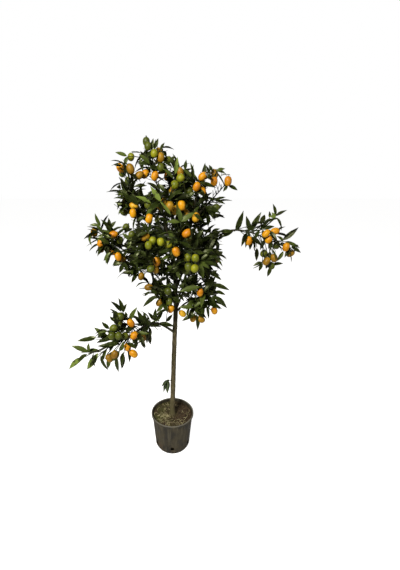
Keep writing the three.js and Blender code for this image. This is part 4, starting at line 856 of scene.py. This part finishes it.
owners = [owner_of(np.array(row[:3], float)) for row in FRUIT]
starts = []
for own, (name, middle, halves, seed, twig_count, parent, share, path, radii) in enumerate(MASSES):
    curve, middle, halves = curves[name], MIDDLES[own], HALVES[own]
    on_arm, is_open = name in ARM_TWIGS, name in OPEN_MASSES
    start = 0.0 if share == 1 else entry_of(own, curve, radii)
    starts.append(start)
    draw, spray = mulberry(seed), mulberry(seed + FINER_SEED)
    carried = []
    for x, y, z, colour, lean in [row for row, owner in zip(FRUIT, owners) if owner == own]:
        drawn = [draw() for _ in range(DRAWS)]
        turn = math.radians(lean)
        centre, axis = np.array([x, y, z], float), np.array([math.sin(turn), 0, math.cos(turn)])
        crown = centre + axis * FRUIT_LENGTH / 2
        knot = crown - axis * KNOT_SUNK
        root = curve(foot_for(curve, start, knot, 0.12))
        away = unit((knot - root) * [1, 1, 0])
        twig = bent(root, (root + knot) / 2 + axis * 0.2 * np.linalg.norm(knot - root), knot)
        shoots.append((twig, TWIG_RADII))
        carried.append((twig, drawn, False))
        stalks.append(bent(twig[-2], crown + axis * STALK_RISE, crown - axis * STALK_SUNK))
        fruit.append(Kumquat(centre, axis, colour, spray()))
        for n in range(0 if on_arm else COLLAR_LEAVES - is_open):
            bear_collar(own, twig, away, drawn[6] * FULL_TURN + n * GOLDEN, spray)

    # The first twigs follow the source's rule and draws, the finer ones their own.
    growth = OPEN_GROWTH if is_open else 1
    finer = int(round(twig_count * (FINER_ON_ARMS if on_arm else FINER_TWIGS * growth)))
    for k in range(twig_count + finer):
        ruled = k < twig_count
        index, number = (k, twig_count) if ruled else (k - twig_count, finer)
        bearing = index * GOLDEN + seed + (0 if ruled else FINER_TURN)
        if on_arm:
            along = start + (1 - start) * (index + 0.6) / number
            heart, side = curve(along), tilted(heading_at(curve, along), 1.05, bearing)
            aim = side * min(halves[1], halves[2]) * (1.15 - 0.4 * along)
        else:
            level = 1 - 2 * (index + 0.5) / number
            spread = math.sqrt(1 - level * level)
            heart = middle
            aim = np.array([spread * math.cos(bearing), spread * math.sin(bearing), level]) * halves
        drawn = [(draw if ruled else spray)() for _ in range(DRAWS)]
        reach = min(max(1 - LEAF_LENGTH * 0.78 / float(np.linalg.norm(aim)), 0.28), 0.8)
        goal = heart + aim * reach * (0.85 + 0.3 * drawn[0])
        if on_arm and ruled:
            goal = np.array(ARM_TWIGS[name][k], float)
        foot = foot_for(curve, start, goal, 0.12 + 0.18 * drawn[1])
        root = curve(foot)
        chord = np.linalg.norm(goal - root)
        if chord < SHORTEST_TWIG or room_around(own, goal) < 0 or not clear_of_limbs(goal, TWIG_ROOM):
            continue
        twig = bent(root, (root + goal) / 2 + heading_at(curve, foot) * chord * TWIG_BOW, goal)
        shoots.append((twig, TWIG_RADII))
        carried.append((twig, drawn, True))

    stem_end = curve(np.linspace(1 - 0.3 * (1 - start), 1, SHOOT_POINTS))
    carried.append((stem_end, [draw() for _ in range(DRAWS)], True))
    every = LEAF_EVERY * (2 if on_arm else 1 / growth)
    for twig, drawn, closed in carried:
        length = length_of(twig)
        bear_leaves(own, twig, max(2, int(round(length / every))), spray, drawn[5] * FULL_TURN, closed)
        for n in range(0 if on_arm else 2 if length > TWO_SIDE_SHOOTS else 1):
            place, beyond = twig[2 + n * 2], twig[3 + n * 2]
            direction = tilted(unit(beyond - place), 0.75 + 0.3 * spray(), drawn[4] * FULL_TURN + n * GOLDEN)
            tip = place + unit(direction + [0, 0, 0.25]) * (SIDE_REACH + SIDE_REACH * spray())
            if room_around(own, tip) >= 2 and reach_of(own, tip) <= 0.95 and clear_of_limbs(tip, TWIG_ROOM):
                bear_shoot(own, place, tip, 3, SIDE_RADII, spray)

TONES = {"dark": (0.34, 0.68), "mid": (0.69, 0.91), "fresh": (0.93, 0.99)}
leading = []
for row, (tone, foot, tips) in enumerate(SPRAYS):
    foot = np.array(foot, float)
    own = owner_of(foot)
    curve, spray = curves[MASSES[own][0]], mulberry(SPRAY_SEED + row)
    root = curve(foot_for(curve, starts[own], foot, 0.14))
    away = heading_at(curve, starts[own])
    bend = (root + foot) / 2 + away * np.linalg.norm(foot - root) * TWIG_BOW
    shoots.append((bent(root, bend, foot), LEADING_RADII))
    low, high = TONES[tone]
    for tip in np.array(tips, float):
        chord = tip - foot
        up = unit(np.array([1.1 * (spray() - 0.5), -0.4 - 0.5 * spray(), 0.72]))
        rise = unit(up - unit(chord) * float(up @ unit(chord)))
        bow = 0.2 + 0.6 * spray()
        direction = unit(chord) * math.cos(bow / 2) + rise * math.sin(bow / 2)
        size = float(np.linalg.norm(chord)) / LEAF_LENGTH * (1 + bow * bow / 24)
        leading.append(Leaf(own, foot, direction, rise, size, bow, 0.12 + 0.25 * spray(), spray() * FULL_TURN,
                            tip, low + (high - low) * spray()))
leading_middles = np.array([(leaf.foot + leaf.tip) / 2 for leaf in leading])

# Leafy spurs on the bare lengths of the boughs and of the trunk inside the crown.
SPUR_STEP, SPUR_FLOOR, SPUR_SHORTEST, SPUR_SPREAD, SPUR_SEED = 30, 1000, 22, 26, 900
spurred = [(mass[0], 0.06, 0.4 if mass[0] in ARM_TWIGS else 0.97, mass[3]) for mass in MASSES if mass[6] != 1]
for name, low, high, seed in [*spurred, ("trunk", 0.52, 0.97, 9)]:
    curve, spray = curves[name], mulberry(seed + SPUR_SEED)
    count = int(length_of(curve(np.linspace(0, 1, 60))) * (high - low) / SPUR_STEP)
    for k in range(count):
        share = low + (high - low) * (k + spray() * 0.8) / count
        place = curve(share)
        direction = tilted(heading_at(curve, share), 1.0 + 0.3 * spray(), k * GOLDEN + seed)
        tip = place + unit(direction + [0, 0, 0.2]) * (SPUR_SHORTEST + SPUR_SPREAD * spray())
        if (place[2] >= SPUR_FLOOR or name == "low_left") and clear_of_limbs(tip, 2):
            bear_shoot(owner_of(tip), place, tip, 2, SPUR_RADII, spray)

fruit_centre = np.array([row.centre for row in fruit])
fruit_axis = np.array([row.axis for row in fruit])


def clear_of_fruit(start, end):
    """True where a leaf's line stays off the core of every fruit."""
    line = start + (end - start) * np.linspace(0.3, 1, 7)[:, None]
    gap = line[:, None] - fruit_centre
    along = np.clip((gap * fruit_axis).sum(-1), -FRUIT_LENGTH * 0.28, FRUIT_LENGTH * 0.28)
    apart = np.linalg.norm(gap - along[..., None] * fruit_axis, axis=-1)
    return bool((apart > FRUIT_WIDTH * 0.45).all())


# Sight lines through the crown that stay open: where each crosses the plane of the trunk, and its radius.
OPENINGS = [
    (-27, 0, 1542, 13), (-147, 0, 1499, 16), (-73, 0, 1398, 13), (-7, 0, 1355, 13), (-129, 0, 1118, 13),
    (-34, 0, 1072, 12), (-107, 0, 988, 14), (55, 0, 956, 15), (-36, 0, 894, 14), (180, 0, 1484, 27),
    (-243, 0, 1355, 26), (102, 0, 1549, 18), (204, 0, 1522, 20), (204, 0, 1478, 22), (234, 0, 988, 23),
    (-243, 0, 927, 18), (-180, 0, 1367, 21), (-255, 0, 1426, 18), (-260, 0, 1463, 20), (-229, 0, 1526, 16),
    (189, 0, 1342, 19), (-326, 0, 1200, 17), (35, 0, 1594, 13), (-113, 0, 1479, 16), (-313, 0, 1367, 13),
    (-41, 0, 782, 18),
]
EYE, KEY_LIGHT = np.array([15, -1462, 1605], float), np.array([-1100, -2300, 2900], float)


def shuts_opening(point):
    """True where a point lies in one of the sight lines."""
    for x, y, z, radius in OPENINGS:
        line = unit(np.array([x, y, z], float) - EYE)
        off = point - EYE
        if np.linalg.norm(off - line * float(off @ line)) < radius:
            return True
    return False


# Leaves keep off the middle of fruit that hangs in front, by this share of its width, and none close to a
# lime one stands in its light.
BARE_SHARES = {"ripe": 0.28, "golden": 0.2, "turning_and_shaded": 0.2, "lime": 0.55, "green": 0.25}
HANGS_IN_FRONT, SHADE_FROM = 60, 90
in_front = [row for row in fruit if row.centre[1] < HANGS_IN_FRONT]
bare_radius = np.array([FRUIT_WIDTH * BARE_SHARES[row.colour] for row in in_front])
lime = np.array([row.colour == "lime" for row in in_front])
beams = []
for source in (EYE, KEY_LIGHT):
    line = np.array([row.centre for row in in_front]) - source
    away = np.linalg.norm(line, axis=1)
    nearest = 0 * away if source is EYE else np.where(lime, away - SHADE_FROM, np.inf)
    beams.append((source, line / away[:, None], nearest, away))


def covers_fruit(start, end, share):
    """True where a leaf's line lies over the middle of a fruit that hangs in front, or shades a lime one."""
    line = start + (end - start) * np.linspace(0.2, 1, 7)[:, None]
    for source, sight, nearest, furthest in beams:
        off = line - source
        ahead = off @ sight.T
        apart = np.linalg.norm(off[:, None] - ahead[..., None] * sight, axis=-1)
        if ((apart < share * bare_radius) & (ahead > nearest) & (ahead < furthest)).any():
            return True
    return False


# Leading leaves stay unless they cover fruit. The others must also keep to their mass's space and clear of
# limbs, fruit, leading leaves and sight lines.
FRONT_LIMIT, BACK_LIMIT, TOP_LIMIT = -408, 276, 1648
kept = [leaf for leaf in leading if not covers_fruit(leaf.foot, leaf.tip, 0.75)]
for leaf in leaves:
    own, foot, tip = leaf.own, leaf.foot, leaf.tip
    halfway = (foot + tip) / 2
    inside = reach_of(own, tip) < 1.12 and room_around(own, tip) > -6 and room_around(own, halfway) > -2
    inside = inside and FRONT_LIMIT < tip[1] < BACK_LIMIT and tip[2] < TOP_LIMIT and halfway[2] < TOP_LIMIT
    inside = inside and not covers_fruit(foot, tip, 1)
    if inside and clear_of_limbs(halfway, 3) and clear_of_limbs(tip, 2) and clear_of_fruit(foot, tip):
        crowded = np.linalg.norm(leading_middles - halfway, axis=1).min() < CROWDING
        if not (crowded or any(shuts_opening(foot + (tip - foot) * share) for share in (0.3, 0.65, 1))):
            kept.append(leaf)


# ---- Leaves ----
# Narrow evergreen leaves on short stalks, folded a little along the midrib and arched towards the tip.
# They are leathery: the upper side is glossy dark green and the underside is dull and paler.
STATIONS = np.array([0, 0.07, 0.13, 0.26, 0.43, 0.61, 0.78, 0.91])
BREADTH = np.array([0.045, 0.04, 0.33, 0.78, 1, 0.88, 0.55, 0.22])
LEAF_THICK, LEAF_SUNK, RUFFLE, LEAF_GLOSS, LEAF_SHINE = 0.5, 1.2, 0.07, 0.2, (0.95, 1.0, 0.6)


def leaf_blades(rows):
    """Leaf blades on N rows. Centre line: foot + L (sin bs / b · along - (1 - cos bs) / b · up);
    the edges stand off it by the breadth at s, raised by the fold; the underside lies a thickness below."""
    _, foot, along, up, size, bow, fold, wave, _, _ = zip(*rows)
    foot, along, up = np.array(foot), np.array(along), np.array(up)
    along /= np.linalg.norm(along, axis=1, keepdims=True)
    up -= (up * along).sum(1, keepdims=True) * along
    up /= np.linalg.norm(up, axis=1, keepdims=True)
    side = np.cross(along, up)[:, None]
    foot, along, up = foot[:, None], along[:, None], up[:, None]
    size, bow, fold, wave = (np.array(part)[:, None, None] for part in (size, bow, fold, wave))
    s = np.append(STATIONS, 1.0)[None, :, None]
    onward, fallen = np.sin(bow * s) / bow * along, (1 - np.cos(bow * s)) / bow * up
    centre = foot - along * LEAF_SUNK + LEAF_LENGTH * size * (onward - fallen)
    rise = np.cos(bow * s) * up + np.sin(bow * s) * along
    breadth = (LEAF_WIDTH / 2) * (0.35 + 0.65 * size) * np.append(BREADTH, 0.0)[None, :, None]
    ruffle = RUFFLE * breadth * np.sin(s * 11 + wave)
    left = centre + side * breadth * np.cos(fold) + rise * (breadth * np.sin(fold) + ruffle)
    right = centre - side * breadth * np.cos(fold) + rise * (breadth * np.sin(fold) - ruffle)
    under = centre - rise * LEAF_THICK
    body = np.stack([left, centre, right, under], 2)[:, :-1].reshape(len(rows), -1, 3)
    points = np.concatenate([body, centre[:, -1:]], 1)
    skin = ring_faces(len(STATIONS), 4).reshape(-1, 4, 4)
    upper, lower = skin[:, :2].reshape(-1, 4), skin[:, 2:].reshape(-1, 4)
    quads = np.vstack([upper, lower, [(3, 2, 1, 0)]])
    threes = pole_fan(4 * len(STATIONS), 4 * len(STATIONS) - 4, 4)
    under_quads = np.r_[np.zeros(len(upper)), np.ones(len(lower)), 0]
    sides = np.concatenate([np.tile(under_quads, len(rows)), np.tile([0, 0, 1, 1], len(rows))])
    faces = [repeated(part, len(rows), points.shape[1]) for part in (quads, threes)]
    return points.reshape(-1, 3), faces, sides


def leaf_finish(name, colour, second, rough):
    """Leaf skin: one green with a faint mottle of a second, glossy by its roughness."""
    skin = Finish(name)
    skin.surface(skin.tinted(colour, second, skin.speckle(45, 2)), rough, LEAF_GLOSS)
    skin.fed(skin.shader, {"Specular Tint": LEAF_SHINE})
    return skin.material


UNDERSIDE = leaf_finish("leaf_underside", (0.036, 0.045, 0.013), (0.052, 0.063, 0.018), 0.65)


def leafy_piece(name, rows, upper):
    """A piece of leaf blades with its upper finish and the common underside."""
    points, faces, sides = leaf_blades(rows)
    blade = mesh_piece(name, points * MM, faces)
    blade.data.materials.append(upper)
    blade.data.materials.append(UNDERSIDE)
    blade.data.polygons.foreach_set("material_index", sides.astype(np.int32))
    return blade


# Name, share of the range of leaf tones, and the two greens of each.
GREENS = [
    # The deep greens are partly the leaves' own dark green and partly painted shade: darker than a leaf, they
    # stand in for the shadow inside the crown and are dealt out at random to the fill leaves.
    ("deep_shade", 0.34, (0.0040, 0.0056, 0.0012), (0.0077, 0.0105, 0.0021)),
    ("dark", 0.34, (0.0130, 0.0195, 0.0036), (0.0215, 0.031, 0.0052)),
    ("mid", 0.24, (0.041, 0.059, 0.010), (0.058, 0.080, 0.014)),
    ("fresh", 0.08, (0.108, 0.153, 0.028), (0.145, 0.193, 0.038)),
]
steps = np.cumsum([row[1] for row in GREENS])
batch_of = np.searchsorted(steps, np.array([leaf.tone for leaf in kept]) * 0.999)
FOLIAGE_NODES = [f"foliage_{mass[0]}" for mass in MASSES]
for number, (name, share, colour, second) in enumerate(GREENS):
    rows = [kept[i] for i in np.flatnonzero(batch_of == number)]
    blade = leafy_piece(f"leaves_{name}", rows, leaf_finish(f"leaf_{name}_green", colour, second, 0.34))

    # Edges that run along the leaf are creases, apart from the one down the middle of the underside.
    ends = np.zeros(len(blade.data.edges) * 2, int)
    blade.data.edges.foreach_get("vertices", ends)
    lane = ends.reshape(-1, 2) % (len(blade.data.vertices) // len(rows)) % 4
    crease = (lane[:, 0] == lane[:, 1]) & (lane[:, 0] != 3)
    blade.data.attributes.new("sharp_edge", "BOOLEAN", "EDGE").data.foreach_set("value", crease)
    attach(blade, "root")
    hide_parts(*FOLIAGE_NODES)


# ---- Twigs and fruit stalks ----
# This year's shoots are thin, green and a little angular, and they taper from the wood they grow on.
# Each fruit hangs on a short stalk of its own, of the same green wood.
STALK_RADII, TWIG_ROUND = (1.1, 1.3), 6
taper = np.array([np.linspace(*radii, SHOOT_POINTS) for shoot, radii in shoots])
points, faces = tubes([shoot for shoot, radii in shoots], taper, TWIG_ROUND)
twigs = mesh_piece("twigs", points * MM, faces)
points, faces = tubes(stalks, np.tile(np.linspace(*STALK_RADII, SHOOT_POINTS), (len(stalks), 1)), TWIG_ROUND)
stalk_piece = mesh_piece("fruit_stalks", points * MM, faces)
# The twig skin, on twigs, fruit stalks and caps, is darkened up in the crown by the same painted shade.
green_wood = bark_finish("green_twig_skin", (0.035, 0.055, 0.016), (0.085, 0.11, 0.03),
                         (0.05, 0.08, 0.02), 200)
for piece in (twigs, stalk_piece):
    piece.data.materials.append(green_wood)
    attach(piece, "root")


# ---- Kumquats ----
# Oval fruit a thumb's width across with a thin, oily, finely pitted rind, from green and lime to orange.
# A small star-shaped cap stays where the stalk meets the fruit.
FRUIT_ROUND = 12
FRUIT_SHARES = np.array([0.045, 0.15, 0.31, 0.5, 0.69, 0.85, 0.955])
OVALS = {"green": 0.86, "lime": 0.84}


def fruit_axes(rows):
    """Middle and axis of each fruit, and two directions square to the axis and to each other."""
    centre, axis = np.array([row.centre for row in rows]), np.array([row.axis for row in rows])
    across = np.cross(axis, [0.9, 0.3, 0.1])
    across /= np.linalg.norm(across, axis=1, keepdims=True)
    return centre, axis, across, np.cross(axis, across)


def fruit_bodies(rows):
    """Ovals on N rows: centre + axis · L (1/2 - s) + r(s) (across · cos a + other · sin a), where
    r(s) = R (1 - |2s - 1|^2.25)^(1/2.1)."""
    centre, axis, across, other = (part[:, None, None] for part in fruit_axes(rows))
    grown = (0.88 + 0.12 * np.array([row.grown for row in rows]))[:, None, None, None]
    s = FRUIT_SHARES[None, :, None, None]
    a = (2 * math.pi * np.arange(FRUIT_ROUND) / FRUIT_ROUND)[None, None, :, None]
    r = FRUIT_WIDTH / 2 * grown * (1 - np.abs(2 * s - 1) ** 2.25) ** (1 / 2.1)
    length = FRUIT_LENGTH * (grown * 0.5 + 0.5) * OVALS.get(rows[0].colour, 1)
    rings = centre + axis * length * (0.5 - s) + r * (across * np.cos(a) + other * np.sin(a))
    poles = centre[:, 0] + axis[:, 0] * length[:, 0] * np.array([0.488, -0.5])[None, :, None]
    points = np.concatenate([rings.reshape(len(rows), -1, 3), poles], 1)
    total = FRUIT_ROUND * len(FRUIT_SHARES)
    quads = ring_faces(len(FRUIT_SHARES), FRUIT_ROUND)[:, ::-1]
    threes = np.vstack([pole_fan(total, 0, FRUIT_ROUND),
                        pole_fan(total + 1, total - FRUIT_ROUND, FRUIT_ROUND, True)])
    return points.reshape(-1, 3), [repeated(part, len(rows), points.shape[1]) for part in (quads, threes)]


# Name of each colour, and its two tones.
RINDS = {
    "ripe": ((0.44, 0.155, 0.002), (0.60, 0.28, 0.004)),
    "golden": ((0.50, 0.24, 0.010), (0.58, 0.33, 0.018)),
    # The turning rind is a dull, darker orange: half-ripe fruit carry it as their own colour, and ripe fruit
    # that hang in shade carry it as painted shade.
    "turning_and_shaded": ((0.18, 0.090, 0.004), (0.31, 0.165, 0.007)),
    "lime": ((0.112, 0.132, 0.005), (0.255, 0.252, 0.009)),
    "green": ((0.048, 0.062, 0.005), (0.098, 0.115, 0.008)),
}
for name, (colour, second) in RINDS.items():
    points, faces = fruit_bodies([row for row in fruit if row.colour == name])
    batch = mesh_piece(f"kumquats_{name}", points * MM, faces)
    rind = Finish(f"rind_{name}")
    rind.surface(rind.tinted(colour, second, rind.speckle(28, 2)), 0.42, 0.28)
    rind.raised(rind.speckle(900, 1), 0.0003, 0.35)
    batch.data.materials.append(rind.material)
    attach(batch, "root")

# The cap is a star of points (axis · h + reach (cos a, sin a)) with a pole above it and one inside the fruit.
CAP_POINTS, CAP_LONG, CAP_SHORT, CAP_RISE = 10, 4.6, 2.4, 1.2
centre, axis, across, other = (part[:, None] for part in fruit_axes(fruit))
a = (2 * math.pi * np.arange(CAP_POINTS) / CAP_POINTS)[None, :, None]
reach = np.where(np.arange(CAP_POINTS) % 2, CAP_SHORT, CAP_LONG)[None, :, None]
height = FRUIT_LENGTH * 0.48 - 0.16 * reach ** 2 * 0.3
rim = centre + axis * height + reach * (across * np.cos(a) + other * np.sin(a))
poles = [centre + axis * (FRUIT_LENGTH * 0.5 + CAP_RISE), centre + axis * FRUIT_LENGTH * 0.42]
points = np.concatenate([rim, *poles], 1)
star = np.vstack([pole_fan(CAP_POINTS, 0, CAP_POINTS), pole_fan(CAP_POINTS + 1, 0, CAP_POINTS, True)])
caps = mesh_piece("fruit_caps", points.reshape(-1, 3) * MM, [repeated(star, len(fruit), points.shape[1])])
caps.data.materials.append(green_wood)
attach(caps, "root")


# ---- Low shoot on the trunk ----
# A short sucker that was left on the bare stem, and grows out of its bark to the left.
# It ends in a few small, soft, grey-green leaves that hang.

# Bearing of each leaf in degrees, how steeply it hangs, and its length.
SPROUT_LEAVES = [(262, 1.9, 88), (215, 1.5, 90), (150, 1.2, 66), (95, 1.1, 56), (225, 0.3, 56),
                 (285, 2.6, 70), (190, 2.2, 74)]
SPROUT_HEIGHT, SPROUT_REACH, SPROUT_RADII, SPROUT_ROUND, SPROUT_DROP = 478, 17, (2.4, 1.5), 8, 1.2
SPROUT_BOW, SPROUT_FOLD = 0.3, 0.25

shares = np.arange(0, 1, 0.002)
near = shares[trunk_curve(shares)[:, 2] < SPROUT_HEIGHT][-1]
core = trunk_curve(near)
bark = core - [float(trunk_radius(near)), 0, 0]
outer = bark + [-SPROUT_REACH, 0, SPROUT_REACH * 0.6]
points, faces = tubes([bent(core, bark, outer)], [np.linspace(*SPROUT_RADII, SHOOT_POINTS)], SPROUT_ROUND)
sucker = mesh_piece("low_shoot", points * MM, faces)
sucker.data.materials.append(green_wood)
rows = []
for bearing, drop, length in SPROUT_LEAVES:
    level = np.array([math.cos(math.radians(bearing)), math.sin(math.radians(bearing)), 0])
    rows.append(Leaf(0, outer, unit(level - [0, 0, drop * SPROUT_DROP]), level + [0, 0, 1.0],
                     length / LEAF_LENGTH, SPROUT_BOW, SPROUT_FOLD, bearing))
low_leaves = leafy_piece("low_shoot_leaves", rows,
                         leaf_finish("leaf_grey_green", (0.055, 0.085, 0.04), (0.075, 0.105, 0.05), 0.5))
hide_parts("foliage_sprout")
for piece in (sucker, low_leaves):
    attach(piece, "root")


# ---- Floor, light and camera ----
# A plain pale floor, and a faint warm light from all round that keeps the shadows open.
# A large soft light stands in front and to the left, and weaker ones on the right and behind.
FLOOR_REACH, WARM_WHITE, WORLD_LIGHT = 14.0, (1, 0.97, 0.9), 0.06
floor = mesh_piece("floor", np.array([(-1, -1, 0), (1, -1, 0), (1, 1, 0), (-1, 1, 0)]) * FLOOR_REACH,
                   [np.array([(0, 1, 2, 3)])], smooth=False)
pale = Finish("pale_floor")
pale.surface((0.55, 0.55, 0.55), 0.9)
seen = pale.nodes.new("ShaderNodeLightPath").outputs["Is Camera Ray"]
pale.fed(pale.shader, {"Emission Color": (1, 1, 1), "Emission Strength": pale.spread(seen, 0, 1, 0.05, 0.95)})
floor.data.materials.append(pale.material)

world = bpy.context.scene.world or bpy.data.worlds.new("studio")
bpy.context.scene.world = world
world.use_nodes = True
nodes, links = world.node_tree.nodes, world.node_tree.links
nodes.clear()
mix, out = nodes.new("ShaderNodeMixShader"), nodes.new("ShaderNodeOutputWorld")
links.new(nodes.new("ShaderNodeLightPath").outputs["Is Camera Ray"], mix.inputs[0])
for socket, colour, strength in ((1, WARM_WHITE, WORLD_LIGHT), (2, (1, 1, 1), 1.0)):
    back = nodes.new("ShaderNodeBackground")
    back.inputs["Color"].default_value, back.inputs["Strength"].default_value = (*colour, 1), strength
    links.new(back.outputs[0], mix.inputs[socket])
links.new(mix.outputs[0], out.inputs[0])


def soft_light(name, place, size, power):
    """A square area light at a place, turned to face the middle of the plant."""
    light = bpy.data.lights.new(name, "AREA")
    light.size, light.energy, light.color = size, power, WARM_WHITE
    lamp = bpy.data.objects.new(name, light)
    bpy.context.scene.collection.objects.link(lamp)
    lamp.location = place
    direction = Vector((0, 0, 1.1)) - Vector(place)
    lamp.rotation_euler = direction.to_track_quat("-Z", "Y").to_euler()


soft_light("key_light", KEY_LIGHT * MM, 0.8, 150)
soft_light("side_light", (2.6, -1.2, 2.0), 1.4, 16)
soft_light("back_light", (0.5, 2.8, 2.8), 2.0, 30)

FRAME_HEIGHT, FOCAL, SHIFT_X, SHIFT_Y, PITCH, SENSOR = 570, 318, 25, 35, 26.83, 36
camera = bpy.data.objects.new("camera", bpy.data.cameras.new("camera"))
bpy.context.scene.collection.objects.link(camera)
camera.location = EYE * MM
camera.rotation_euler = (math.radians(90 - PITCH), 0, 0)
camera.data.sensor_width, camera.data.lens = SENSOR, FOCAL / FRAME_HEIGHT * SENSOR
camera.data.shift_x, camera.data.shift_y = SHIFT_X / FRAME_HEIGHT, SHIFT_Y / FRAME_HEIGHT
camera.data.clip_start, camera.data.clip_end = 0.05, 60
bpy.context.scene.camera = camera
bpy.context.scene.view_settings.view_transform = "Standard"
